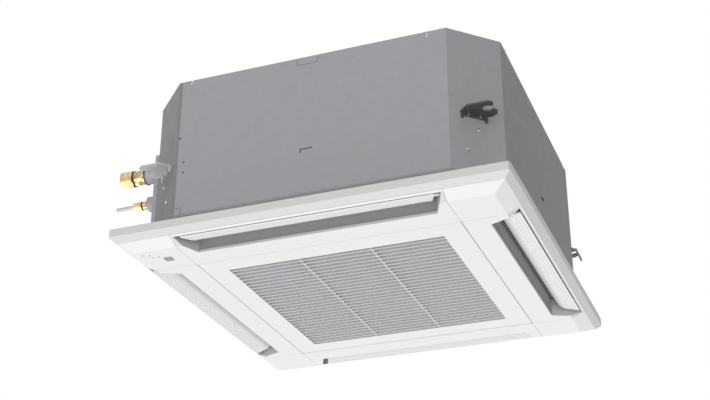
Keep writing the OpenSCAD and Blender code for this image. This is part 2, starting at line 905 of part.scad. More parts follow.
// Foam pan: trough under the coil, four air passages and a stepped inlet
module drain_pan() color(foam_white) lift() difference() {
    translate([0, 0, casing_low]) linear_extrude(pan_h) cut_square(casing_in - pan_gap, casing_cut);
    translate([0, 0, casing_low - cut]) linear_extrude(pan_h + 2 * cut)
        rounded_square(pan_open - pan_step, pan_corner_r);
    translate([0, 0, mouth_z]) linear_extrude(pan_h) rounded_square(pan_open, pan_corner_r);
    translate([0, 0, trough_z]) linear_extrude(pan_h) difference() {
        rounded_square(coil_out + trough_gap, coil_corner_r + trough_gap);
        rounded_square(coil_in - trough_gap, coil_corner_r - coil_t + 10);
    }
    four_sides() {
        passage_block(casing_low - cut, pan_top + cut);
        translate([passage_out - cut, -outlet_half, casing_low - cut])
            cube([casing_half, 2 * outlet_half, pan_h + 2 * cut]);
    }
    four_corners() {
        translate([screw_at, screw_at, casing_low - cut])
            cylinder(h = pan_screw_depth + cut, r = screw_r + screw_room);
        cut_face_frame() translate([-flange_w / 2 - clear, -flange_w - casing_cut, casing_low - cut])
            cube([flange_w + 2 * clear, casing_cut + flange_w + cut, flange_t + clear + cut]);
    }
    translate([-sump_at, -sump_at, trough_z - pump_foot_drop]) cylinder(h = pan_h, r = sump_r);
}

// Inlet ring: a square flange and a trumpet that narrows into the fan
module bell_mouth() color(dark_plastic) lift() {
    lip = mouth_curve_r;
    translate([0, 0, mouth_z]) difference() {
        linear_extrude(mouth_t) rounded_square(pan_open - clear, pan_corner_r);
        translate([0, 0, -cut]) cylinder(h = mouth_t + 2 * cut, r = throat_r + lip - join, $fn = 96);
    }
    rotate_extrude($fn = 96) {
        intersection() {
            translate([throat_r + lip, mouth_z + lip]) difference() {
                circle(lip);
                circle(lip - mouth_t);
            }
            translate([throat_r, mouth_z]) square(lip);
        }
        translate([throat_r, mouth_z + lip - join])
            square([mouth_t, fan_low + mouth_reach - mouth_z - lip + join]);
    }
}

// Fin block bent round the fan, open at the near-left corner
module coil_ring(low, h) {
    translate([0, 0, low]) difference() {
        linear_extrude(h) rounded_square(coil_out, coil_corner_r);
        translate([0, 0, -cut]) linear_extrude(h + 2 * cut) rounded_square(coil_in, coil_corner_r - coil_t);
        translate([-coil_out - cut, -coil_out - cut, -cut])
            cube([coil_out - coil_open + cut, coil_out - coil_open + cut, h + 2 * cut]);
    }
}

module coil_fins() color("silver") lift() difference() {
    coil_ring(trough_z, coil_h);
    for (i = [0 : coil_rows - 1]) coil_tube_pair(i, coil_end_depth);
}

// The two ends of the bent fin block, at the near-left corner
module both_ends() {
    children();
    mirror([1, -1, 0]) children();
}

// Ends of the copper tubes with their return bends, at both ends of the bent fin block
module coil_tubes() color([0.72, 0.45, 0.3]) lift()
    for (i = [0 : coil_rows - 1]) coil_tube_pair(i, coil_end_depth - clear);

module coil_tube_pair(i, depth) {
    z = trough_z + coil_row_pitch * (i + 0.75);
    middle = (coil_in + coil_out) / 2;
    both_ends() translate([-coil_open, -middle, z]) {
            for (side = [-1, 1]) translate([-coil_stub, side * coil_bend_r, 0]) rotate([0, 90, 0])
                cylinder(h = coil_stub + depth, r = coil_tube_r, $fn = 32);
            translate([-coil_stub, 0, 0]) rotate([0, 0, 90])
                rotate_extrude(angle = 180, $fn = 32) translate([coil_bend_r, 0])
                    circle(coil_tube_r, $fn = 32);
        }
}

// Sheet-metal end plates of the coil
module coil_end_plates() color("silver") lift() difference() {
    both_ends()
        translate([-coil_open - end_plate_t - end_plate_gap, -coil_out - end_plate_border, trough_z])
            cube([end_plate_t, coil_t + 2 * end_plate_border, coil_h]);
    for (i = [0 : coil_rows - 1]) coil_tube_pair(i, end_plate_hole_l);
}

// Turbo fan: shroud, leaning blades and a hub plate with a domed middle
module turbo_fan() color("whitesmoke") lift() {
    rotate_extrude($fn = 96) hub_section();
    rotate_extrude($fn = 96) shroud_section();
    for (i = [0 : fan_blades - 1]) rotate([0, 0, i * 360 / fan_blades]) fan_blade();
}

// Hub plate with a dome that goes down round the motor to the shaft's boss
module hub_section() {
    boss_top = dome_low + shaft_boss_h;
    polygon([[shaft_r + seat, dome_low], [dome_r - dome_foot_w, dome_low],
        [dome_r + dome_top_w, fan_top - hub_t],
        [fan_r, fan_top - hub_t], [fan_r, fan_top], [dome_r, fan_top],
            [dome_r - dome_inner_w, dome_low + hub_t],
        [shaft_r + shaft_boss_low_w, dome_low + hub_t], [shaft_r + shaft_boss_top_w, boss_top],
        [shaft_r + seat, boss_top]]);
}

// Flared ring that the air enters through
module shroud_section() {
    polygon([[shroud_r, fan_low], [shroud_r + shroud_t, fan_low], [fan_r, fan_low + shroud_rise],
        [fan_r, fan_low + shroud_rise + shroud_t], [shroud_r, fan_low + shroud_neck_h]]);
}

module fan_blade() {
    arc_r = fan_r * blade_curve;
    intersection() {
        translate([blade_in + arc_r * blade_centre_out, -arc_r * blade_centre_side, fan_low + blade_lift])
            difference() {
            cylinder(h = fan_top - fan_low - blade_lift - hub_t / 2, r = arc_r);
            translate([0, 0, -cut]) cylinder(h = fan_h + 2 * cut, r = arc_r - blade_t);
        }
        rotate_extrude($fn = 96)
            polygon([[blade_in, fan_low + blade_foot], [shroud_r + 1, fan_low + blade_foot],
                [fan_r - 1, fan_low + shroud_rise + 0.5], [fan_r - 1, fan_top - 1], [blade_in, fan_top - 1]]);
        translate([0, -fan_r / 3, fan_low]) cube([fan_r, fan_r, fan_h]);
    }
}

module motor_shaft() color(steel) lift()
    translate([0, 0, dome_low - shaft_stub]) cylinder(h = motor_low - dome_low + shaft_stub, r = shaft_r);

module fan_nut() color(steel) lift() translate([0, 0, dome_low - nut_gap - nut_h]) difference() {
    cylinder(h = nut_h, r = nut_r, $fn = 6);
    translate([0, 0, -cut]) cylinder(h = nut_h + 2 * cut, r = shaft_r + seat);
}

// Motor can with a lugged flange
module fan_motor() color("gray") lift() {
    translate([0, 0, motor_low + lug_gap]) {
        cylinder(h = motor_h - lug_gap, r = motor_r);
        translate([0, 0, motor_h - lug_t - lug_gap]) difference() {
            cylinder(h = lug_t, r = mount_ring_r + lug_w);
            for (i = [0 : 2]) rotate([0, 0, i * 120]) translate([mount_ring_r, 0, -cut])
                cylinder(h = lug_t + 2 * cut, r = mount_neck_r);
        }
    }
}

// Three rubber mounts between the motor and the top plate, with a washer below the flange
module motor_mounts() color([0.15, 0.15, 0.15]) lift()
    for (i = [0 : 2]) rotate([0, 0, i * 120]) translate([mount_ring_r, 0, 0]) {
        translate([0, 0, motor_top]) cylinder(h = top_plate_z - motor_top, r = mount_r);
        translate([0, 0, motor_top - mount_neck_l]) cylinder(h = mount_neck_l + cut, r = mount_neck_r - seat);
        translate([0, 0, motor_top - lug_t - mount_washer_t])
            cylinder(h = mount_washer_t, r = mount_washer_r);
    }

// Casing walls, open above and below, with the corner flanges that take the panel's screws
module casing_shell() color(sheet_grey) lift() difference() {
    union() {
        translate([0, 0, casing_low]) linear_extrude(casing_h - sheet_t) difference() {
            cut_square(casing_half, casing_cut);
            cut_square(casing_in, casing_cut - sheet_t * (2 - sqrt(2)));
        }
        corner_flanges();
    }
    pipe_holes(cut);
    hanger_holes();
    screw_holes(screw_hole_r);
    corner_screw_places() cylinder(h = 2 * sheet_t + 2 * cut, r = screw_hole_r, center = true);
    wall_marks(sheet_t + cut);
}

// Small plates below the pan's corners, with the panel screws' holes
module corner_flanges() {
    depth = cut_face - screw_at * sqrt(2) + 8;
    four_corners() difference() {
        cut_face_frame() translate([-flange_w / 2, -depth, casing_low])
            cube([flange_w, depth - sheet_t / 2, flange_t]);
        translate([screw_at, screw_at, casing_low - cut]) cylinder(h = flange_t + 2 * cut, r = screw_r);
    }
}

// Holes of the wall and the liner for the pipes and the drain
module pipe_holes(reach) {
    translate([-casing_half - reach, -pipe_offset, gas_z]) rotate([0, 90, 0])
        cylinder(h = sheet_t + liner_t + 2 * reach, r = gas_boss_r - 2);
    translate([-casing_half - reach, -pipe_offset, liquid_z]) rotate([0, 90, 0])
        cylinder(h = sheet_t + liner_t + 2 * reach, r = liquid_boss_r - 2);
    translate([-casing_half - reach, drain_y, drain_z]) rotate([0, 90, 0])
        cylinder(h = sheet_t + liner_t + 2 * reach, r = drain_d / 2 + clear);
}

module hanger_holes() {
    four_corners() cut_face_frame() {
        for (u = rivet_spots) translate([u, 0, rivet_z]) rotate([90, 0, 0])
            cylinder(h = 4, r = rivet_r, center = true);
    }
}

// Frame on the cut corner's face: X along the face, Y outwards
module cut_face_frame() {
    rotate([0, 0, -45]) translate([0, cut_face, 0]) children();
}

// Small holes, slots and knock-out tabs of the front and right walls, cut to the given depth
module wall_marks(depth) {
    front = -casing_half - cut;
    through = depth + cut;
    for (spot = pilot_spots) translate([spot.x, front, spot.y]) rotate([-90, 0, 0])
        cylinder(h = through, r = pilot_r);
    translate([slit_left, front, slit_z]) cube([slit_l, through, slit_w]);
    translate([slit_left, front, slit_z - slit_drop]) cube([slit_w, through, slit_drop + slit_w]);
    for (x = [tab_left, tab_left + tab_l - line_w]) translate([x, front, tab_z])
        cube([line_w, through, tab_h]);
    translate([tab_left, front, tab_z]) cube([tab_l, through, line_w]);
    translate([low_tab.x, front, low_tab.y]) cube([low_tab_w, through, line_w]);
    translate([low_tab.x + low_tab_w - line_w, front, low_tab.y - low_tab_h])
        cube([line_w, through, low_tab_h + line_w]);
    translate([casing_half - depth, side_slot_y, side_slot_z])
        cube([through, side_slot_l, side_slot_w]);
}

// Top plate with its turned-down edge inside the walls
module casing_top_plate() color(sheet_grey) lift() difference() {
    union() {
        translate([0, 0, top_plate_z]) linear_extrude(sheet_t) cut_square(casing_half, casing_cut);
        translate([0, 0, top_plate_z - skirt_h]) linear_extrude(skirt_h + sheet_t / 2) difference() {
            cut_square(casing_in - lid_gap, casing_cut);
            cut_square(casing_in - lid_gap - sheet_t, casing_cut);
        }
        translate([0, 0, top_plate_z - ring_drop]) linear_extrude(ring_drop + sheet_t / 2) difference() {
            circle(mount_ring_r + ring_out_w);
            circle(mount_ring_r + ring_in_w);
        }
    }
    screw_holes(screw_hole_r);
}

// Holes along the wall's upper edge on the near and right sides, and their like behind
module screw_holes(r) {
    for (spot = edge_screws, turn = [0 : 90 : 270]) rotate([0, 0, turn])
        translate([spot.x, -casing_half - cut, spot.y]) rotate([-90, 0, 0])
            cylinder(h = 2 * sheet_t + 2 * cut, r = r);
}

module casing_screws() color(steel) lift() {
    for (spot = edge_screws, turn = [0 : 90 : 270]) rotate([0, 0, turn])
        translate([spot.x, -casing_half, spot.y]) rotate([90, 0, 0]) sheet_screw(2 * sheet_t);
    corner_screw_places() sheet_screw(sheet_t);
}

// Places on the cut corners' faces, with Z outwards
module corner_screw_places() {
    four_corners() cut_face_frame() for (spot = corner_screws)
        translate([spot.x, 0, spot.y]) rotate([-90, 0, 0]) children();
}

// Pan head, outwards along Z from the sheet's face, over a short shank
module sheet_screw(grip) {
    cylinder(h = sheet_screw_head_h, r = sheet_screw_head_r);
    translate([0, 0, -grip - sheet_screw_point]) cylinder(h = grip + sheet_screw_point, r = screw_hole_r);
}

module foam_liner() color(foam_white) lift() difference() {
    translate([0, 0, pan_top + pan_gap]) linear_extrude(top_plate_z - skirt_h - pan_top - 2 * pan_gap)
        difference() {
        cut_square(casing_in - clear, casing_cut);
        cut_square(liner_in, casing_cut - liner_t * (2 - sqrt(2)));
    }
    pipe_holes(cut);
    wall_marks(sheet_t + liner_t + cut);
    four_corners() cut_face_frame() for (u = rivet_spots) translate([u, -sheet_t, rivet_z]) rotate([90, 0, 0])
        cylinder(h = 4 * rivet_head_t, r = rivet_head_r + clear, center = true);
    corner_screw_places() cylinder(h = 4 * liner_t, r = screw_hole_r + clear, center = true);
}

// Hanger: a flat hooked plate with a flange against the cut corner's face
module hanger() difference() {
    union() {
        translate([bolt_pitch_x / 2, bolt_pitch_y / 2, hook_z - hook_t / 2]) linear_extrude(hook_t)
            intersection() {
                difference() {
                    mirror([0, 1]) polygon(hook_outline);
                    circle(hook_r);
                    translate([0, -hook_mouth / 2]) square([casing_half, hook_mouth]);
                }
                translate([-bolt_pitch_x / 2, -bolt_pitch_y / 2]) beyond_cut_face();
            }
        cut_face_frame() translate([-flange_reach, 0, flange_low])
            cube([flange_reach + flange_back, hook_t, hook_z - flange_low]);
        cut_face_frame() for (u = [-flange_reach, flange_back - tab_w])
            translate([u, 0, flange_low - tab_drop]) cube([tab_w, hook_t, tab_drop + 1]);
    }
    cut_face_frame() for (u = rivet_spots) translate([u, 0, rivet_z]) rotate([90, 0, 0])
        cylinder(h = 20, r = rivet_r + seat, center = true);
}

// Plan of all that lies outside a cut corner's face
module beyond_cut_face() {
    rotate(-45) translate([-casing_w, cut_face]) square([2 * casing_w, casing_w]);
}

module hanger_near_right() color(bracket_grey) lift() mirror([0, 1, 0]) hanger();
module hanger_near_left() color(sheet_grey) lift() rotate([0, 0, 180]) hanger();
module hanger_far_right() color(bracket_grey) lift() hanger();
module hanger_far_left() color(sheet_grey) lift() mirror([1, 0, 0]) hanger();

module hanger_rivets() color(steel) lift() four_corners() cut_face_frame()
    for (u = rivet_spots) translate([u, 0, rivet_z]) rotate([90, 0, 0]) {
        translate([0, 0, -hook_t - rivet_head_t]) cylinder(h = rivet_head_t, r = rivet_head_r);
        translate([0, 0, -hook_t]) cylinder(h = hook_t + sheet_t, r = rivet_r);
        translate([0, 0, sheet_t]) cylinder(h = rivet_head_t, r = rivet_head_r);
    }

// Strip that closes the far-right hook's mouth
module hanger_keeper() color(bracket_grey) lift()
    translate([bolt_pitch_x / 2 + keeper_at + clear, bolt_pitch_y / 2 - keeper_start, hook_z - keeper_h / 2])
        cube([keeper_t, keeper_l, keeper_h]);

// Pressed plate on the left wall, with a round collar for each pipe
module pipe_cover() color(sheet_grey) lift() difference() {
    start = -casing_half + casing_cut + cover_gap;
    union() {
        translate([cover_face, start, cover_low]) cube([cover_proud, cover_w, cover_top - cover_low]);
        along_pipe(gas_z, cover_face - gas_boss_l) cylinder(h = gas_boss_l + cut, r = gas_boss_r);
        along_pipe(liquid_z, cover_face - liquid_boss_l) cylinder(h = liquid_boss_l + cut, r = liquid_boss_r);
    }
    translate([cover_face + cover_skin, start + sheet_t, cover_low + sheet_t])
        cube([cover_proud, cover_w - 2 * sheet_t, cover_top - cover_low - 2 * sheet_t]);
    along_pipe(gas_z, cover_face - gas_boss_l - cut)
        cylinder(h = gas_boss_l + cover_proud, r = gas_thread_r + seat);
    along_pipe(liquid_z, cover_face - liquid_boss_l - cut)
        cylinder(h = liquid_boss_l + cover_proud, r = liquid_thread_r + seat);
}

// Frame of a pipe at the given height: Z along the pipe, towards the casing
module along_pipe(height, start) {
    translate([start, -pipe_offset, height]) rotate([0, 90, 0]) children();
}

// Hexagonal flare nut along Z, from its outer end: a narrow tube bore, then the union's thread
module flare_nut(across, width, tube_d, thread_r, bore_l) {
    difference() {
        intersection() {
            cylinder(h = width, r = across / sqrt(3), $fn = 6);
            rotate_extrude() polygon([[0, 0], [across / 2, 0], [across / sqrt(3), nut_chamfer],
                [across / sqrt(3), width - nut_chamfer], [across / 2, width], [0, width]]);
        }
        translate([0, 0, -cut]) cylinder(h = width + 2 * cut, r = tube_d / 2 + tube_clear);
        translate([0, 0, bore_l]) cylinder(h = width, r = thread_r + seat);
    }
}

// Pipe union along Z: thread in the nut, a body before the collar and a neck through the wall
module pipe_union(thread_l, thread_r, tube_d, nut_face, boss_face) {
    neck_l = neck_in - nut_face;
    body_l = boss_face - nut_face - body_gap - clear;
    difference() {
        union() {
            translate([0, 0, -thread_l]) cylinder(h = thread_l + neck_l, r = thread_r);
            translate([0, 0, body_gap]) intersection() {
                children();
                cylinder(h = body_l, r = casing_half);
            }
        }
        translate([0, 0, -thread_l - cut])
            cylinder(h = thread_l + neck_l + 2 * cut, r = tube_d / 2 - union_wall);
    }
}

module gas_union() color(brass) lift() along_pipe(gas_z, gas_nut_face)
    pipe_union(gas_nut_w - gas_bore_l - clear, gas_thread_r, gas_tube_d, gas_nut_face,
        cover_face - gas_boss_l)
        cylinder(h = casing_half, r = (gas_nut_af - gas_body_less) / sqrt(3), $fn = 6);

module gas_flare_nut() color(brass) lift() along_pipe(gas_z, gas_nut_face - gas_nut_w)
    flare_nut(gas_nut_af, gas_nut_w, gas_tube_d, gas_thread_r, gas_bore_l);

module liquid_union() color(brass) lift() along_pipe(liquid_z, liquid_nut_face)
    pipe_union(liquid_nut_w - liquid_bore_l - clear, liquid_thread_r, liquid_tube_d, liquid_nut_face,
        cover_face - liquid_boss_l)
        cylinder(h = casing_half, r = liquid_thread_r + liquid_body_more);

module liquid_flare_nut() color(brass) lift() along_pipe(liquid_z, liquid_nut_face - liquid_nut_w)
    flare_nut(liquid_nut_af, liquid_nut_w, liquid_tube_d, liquid_thread_r, liquid_bore_l);

// Short tube before the liquid nut, with a thinner closed end inside it
module liquid_stub_tube() color("gainsboro") lift() along_pipe(liquid_z, stub_end) difference() {
    free_l = liquid_nut_face - liquid_nut_w - clear - stub_end;
    union() {
        cylinder(h = free_l, r = liquid_tube_d / 2);
        cylinder(h = free_l + liquid_bore_l, r = liquid_tube_d / 2 - clear);
    }
    translate([0, 0, -cut]) cylinder(h = free_l, r = liquid_tube_d / 2 - tube_wall);
}

// Stepped drain socket with a collar against the wall
module drain_socket() color(dark_plastic) lift()
    translate([-casing_half, drain_y, drain_z]) rotate([0, -90, 0]) difference() {
        union() {
            translate([0, 0, -sheet_t - liner_t - drain_inside_l])
                cylinder(h = drain_l + sheet_t + liner_t + drain_inside_l, r = drain_d / 2);
            cylinder(h = drain_collar_t, r = drain_d / 2 + drain_collar_w);
        }
        translate([0, 0, -casing_half]) cylinder(h = casing_w, r = drain_d / 2 - drain_wall);
    }

// Pump: motor can over a short impeller stem, hung from a bracket on the pan
module drain_pump() color(dark_plastic) lift() translate([-sump_at, -sump_at, 0]) {
    translate([0, 0, trough_z - pump_foot_drop]) cylinder(h = pump_foot_h, r = pump_foot_r);
    translate([0, 0, trough_z]) cylinder(h = pump_stem_h, r = pump_stem_r);
    translate([0, 0, trough_z + pump_can_z]) cylinder(h = pump_can_h, r = pump_r);
    translate([0, 0, trough_z + pump_cap_z]) cylinder(h = pump_cap_h, r = pump_r - pump_cap_step);
    translate([pump_r - 2, float_at.y + sump_at - pump_arm_w / 2, trough_z + pump_arm_z])
        cube([float_at.x + sump_at - pump_r + 2 + pump_arm_w / 2, pump_arm_w, pump_arm_t]);
}

module float_guide() color("whitesmoke") lift() translate([float_at.x, float_at.y, trough_z]) {
    cylinder(h = float_rod_l, r = float_rod_r);
    cylinder(h = float_foot_h, r = float_r - 2);
}

module level_float() color("whitesmoke") lift()
    translate([float_at.x, float_at.y, trough_z + float_foot_h + clear])
    difference() {
        cylinder(h = float_h, r = float_r);
        translate([0, 0, -cut]) cylinder(h = float_h + 2 * cut, r = float_rod_r + running);
    }

// Open box for the circuit boards, beside the bell mouth
module control_box() color(sheet_grey) lift() translate([-box_l / 2, box_y, box_low]) difference() {
    cube([box_l, box_w, box_h]);
    translate([sheet_t, sheet_t, -cut])
        cube([box_l - 2 * sheet_t, box_w - 2 * sheet_t, box_h + cut - sheet_t]);
}

module control_box_lid() color(sheet_grey) lift() difference() {
    translate([-box_l / 2 - sheet_t, box_y - sheet_t, box_low - sheet_t])
        cube([box_l + 2 * sheet_t, box_w + sheet_t, lid_h]);
    translate([-box_l / 2 - lid_gap, box_y - lid_gap, box_low])
        cube([box_l + 2 * lid_gap, box_w + cut, lid_h]);
}

casing_shell();
casing_top_plate();
casing_screws();
foam_liner();
hanger_near_right();
hanger_near_left();
hanger_far_right();
hanger_far_left();
hanger_rivets();
hanger_keeper();
pipe_cover();
gas_union();
gas_flare_nut();
liquid_union();
liquid_flare_nut();
liquid_stub_tube();
drain_socket();
coil_fins();
coil_tubes();
coil_end_plates();
turbo_fan();
fan_nut();
fan_motor();
motor_shaft();
motor_mounts();
bell_mouth();
drain_pan();
drain_pump();
float_guide();
level_float();
control_box();
control_box_lid();
panel_seal();
panel_frame();
corner_cover_near_right();
corner_cover_near_left();
corner_cover_far_right();
corner_cover_far_left();
vane_right();
vane_far();
vane_left();
vane_near();
vane_motors();
intake_grille();
air_filter();
grille_latch_right();
grille_latch_left();
receiver_window();
indicator_lamps();
receiver_board();
manual_button();
panel_screws();
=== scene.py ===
"""Looks of a four-way ceiling cassette air conditioner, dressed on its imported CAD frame."""

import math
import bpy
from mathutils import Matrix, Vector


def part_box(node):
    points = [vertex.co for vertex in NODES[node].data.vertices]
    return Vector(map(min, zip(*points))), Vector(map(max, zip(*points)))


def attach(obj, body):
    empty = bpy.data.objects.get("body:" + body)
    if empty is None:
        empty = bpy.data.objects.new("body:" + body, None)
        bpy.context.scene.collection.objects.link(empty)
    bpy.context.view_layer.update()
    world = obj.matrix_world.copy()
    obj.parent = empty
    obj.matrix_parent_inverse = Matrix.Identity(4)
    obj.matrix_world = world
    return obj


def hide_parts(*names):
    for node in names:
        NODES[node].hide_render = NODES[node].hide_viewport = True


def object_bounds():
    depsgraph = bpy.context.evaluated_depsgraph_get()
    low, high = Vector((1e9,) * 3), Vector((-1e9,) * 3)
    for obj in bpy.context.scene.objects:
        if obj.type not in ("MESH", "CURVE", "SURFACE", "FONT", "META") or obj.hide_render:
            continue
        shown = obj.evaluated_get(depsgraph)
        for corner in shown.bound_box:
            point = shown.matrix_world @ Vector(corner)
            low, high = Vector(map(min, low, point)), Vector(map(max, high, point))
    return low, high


bl_info = {
    "name": "Ceiling cassette looks",
    "version": (1, 0, 0),
    "blender": (4, 5, 0),
    "location": "3D View > Sidebar > Cassette",
    "description": "Finishes, small fasteners, studio light and camera for a ceiling cassette",
    "category": "Object",
}

import bmesh
import bpy
from bpy.props import FloatProperty, FloatVectorProperty, IntProperty, PointerProperty
from mathutils import Euler, Matrix, Vector

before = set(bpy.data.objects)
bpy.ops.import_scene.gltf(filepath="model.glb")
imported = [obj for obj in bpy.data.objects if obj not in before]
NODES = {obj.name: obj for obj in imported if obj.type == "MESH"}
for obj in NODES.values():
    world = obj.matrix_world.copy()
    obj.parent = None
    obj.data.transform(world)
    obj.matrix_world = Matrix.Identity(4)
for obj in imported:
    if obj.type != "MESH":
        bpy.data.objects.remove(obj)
CAD_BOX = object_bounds()
MM = 0.001

# Panel: its face, height, the rim's seam and edge, and the layer that counts as its face
FACE_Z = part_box("panel_frame")[0][2]
PANEL_H = 31 * MM
RIM_SEAM = 303.1 * MM
RIM_EDGE = CAD_BOX[1][0] - 0.4 * MM
FACE_SKIN = 0.3 * MM
# Width and height of the painted shade beside the long seams
SEAM_SHADE_W = 0.7 * MM
SEAM_SHADE_H = 11 * MM

# Outlet ducts: their walls, their lower lip, the height where their painted light is fullest, and the
# slant of their ends
DUCT_INNER = 250.6 * MM
DUCT_OUTER = 298.9 * MM
DUCT_LIP_H = 4 * MM
DUCT_LIP_W = 0.8 * MM
DUCT_DEEP_H = 0.7 * PANEL_H
OUTLET_IN = 251 * MM
OUTLET_HALF = 189 * MM
END_SLANT = 0.42

# Intake grille: its outline, its slats and the two bars across them
GRILLE_HALF = 212.5 * MM
SLAT_FIELD_HALF = 175.2 * MM
SLAT_FOOT_H = 1 * MM
BAR_OFFSET = 58 * MM
BAR_HALF = 1.8 * MM

# Casing: half its width, its top, its cut corners, and the painted shade along its foot
CASING_HALF = 287.5 * MM
CASING_TOP = FACE_Z + 286 * MM
CASING_CUT = 66 * MM
CUT_FACE = (2 * CASING_HALF - CASING_CUT) / math.sqrt(2)
FOOT_SHADE_H = 47 * MM
FOOT_SHADE_SOFT = FOOT_SHADE_H / 9

# Shares of the sheet's colour left under the painted shade on the foot, the near-left cut corner and
# the right wall, and half the thickness of the layers that count as that corner and that wall
FOOT_PAINTED_SHADE = 0.45
CUT_CORNER_PAINTED_SHADE = 0.66
CUT_CORNER_LAYER = 4 * MM
RIGHT_WALL_PAINTED_SHADE = 0.79
RIGHT_WALL_LAYER = 1 * MM

# Wave scales that draw the coil's fins 3.7 mm apart and the filter's meshes 2 mm wide
FIN_SCALE = 170
NET_SCALE = 160

# Casing screws: distance from the middle of an upper edge or of a cut corner, and height
EDGE_SCREWS = (
    (-CASING_HALF + 87.5 * MM, CASING_TOP - 4 * MM),
    (CASING_HALF - 96 * MM, CASING_TOP - 7 * MM),
)
CORNER_SCREWS = ((3.2 * MM, FACE_Z + 121 * MM), (-16.6 * MM, FACE_Z + 86.5 * MM))

# Screw head: radii of its rings of points, closer where the dome is steep, then rim, dome, the
# share of the recess's depth that is lost at the ends of its arms, and shank
HEAD_RINGS = [radius * MM for radius in (0.4, 0.8, 1.2, 1.6, 2, 2.4, 2.7, 2.95, 3.15, 3.6, 3.75)]
HEAD_STEPS = 32
RIM_T = 0.5 * MM
DOME_FOOT_H = 0.6 * MM
DOME_POWER = 4
CROSS_TAPER = 0.6
SHANK_R = 1.7 * MM
SHANK_L = 2.8 * MM
SHANK_TAPER = 0.4 * MM
SHANK_STEPS = 12

# Rings on the pipes: name, height and inner radius, then distance from the casing, width and radius
PIPE_Y = -200 * MM
PIPE_RINGS = (
    ("gas_pipe_rings", FACE_Z + 178.5 * MM, 9.6 * MM, (
        (54.3 * MM, 2 * MM, 12.4 * MM),
        (32.6 * MM, 1.8 * MM, 14.4 * MM),
    )),
    ("liquid_pipe_rings", FACE_Z + 126 * MM, 5.1 * MM, (
        (36.3 * MM, 2 * MM, 6.6 * MM),
    )),
)

# Guide vane: outer edge, flat blade, bend and inner blade, with angles in degrees
VANE_EDGE_R = 297.1 * MM
VANE_EDGE_Z = 6.4 * MM
VANE_FLAT_W = 20.7 * MM
VANE_BEND_R = 18 * MM
VANE_RISE_W = 21.6 * MM
VANE_T = 2.6 * MM
VANE_ROUND = 1.3 * MM
VANE_TILT = 8
VANE_RISE = 60
VANE_END_GAP = 9.5 * MM
INNER_BLADE_SOFT = 2 * MM
EDGE_STEPS = 6
BEND_STEPS = 12

# Ears and pivot pins of the guide vanes
PIVOT_R = 277.5 * MM
PIVOT_Z = 17.28 * MM
EAR_R = 5.5 * MM
EAR_T = 3 * MM
EAR_Y = 186.5 * MM
EAR_FOOT_Z = 11 * MM
EAR_FOOT_IN = 2 * MM
EAR_FOOT_OUT = 3 * MM
EAR_FOOT_DROP = 1 * MM
EAR_STEPS = 8
PIN_R = 3 * MM
PIN_L = 20 * MM
PIN_COLLAR_R = EAR_R - 1.2 * MM
PIN_COLLAR_L = 0.6 * MM
PIN_CONE_END = 1.2 * MM
PIN_TIP = 0.5 * MM

# Floor: half its width, the width of its faint patches, both in metres, and its cells in a row
FLOOR_HALF = 40
FLOOR_PATCH_W = 0.8
FLOOR_CELLS = 8

# Camera: its sensor in millimetres, how far it sees in metres, and its turn in degrees
SENSOR_W = 36
VIEW_END = 50
CAMERA_TURN = (116.782643, -0.057795, 20.787565)

# Soft lights: name, setting of the strength, direction that the light comes from, and its
# spread in degrees
SOFT_LIGHTS = (
    ("light_from_below", "below_strength", (-0.22, 0.05, -1), 50),
    ("light_from_front", "front_strength", (0, -1, -0.1), 50),
    ("light_from_above", "above_strength", (0, 0, 1), 30),
)


def colour_property(name, description, default):
    """A colour that a user may change in the sidebar"""
    return FloatVectorProperty(
        name=name, description=description, default=default, size=3, subtype="COLOR", min=0, max=1
    )


def length_property(name, description, default):
    """A length in metres that a user may change in the sidebar"""
    return FloatProperty(
        name=name, description=description, default=default, unit="LENGTH", subtype="DISTANCE", min=0
    )


def strength_property(name, description, default):
    """The strength of a light that a user may change in the sidebar"""
    return FloatProperty(name=name, description=description, default=default, min=0)


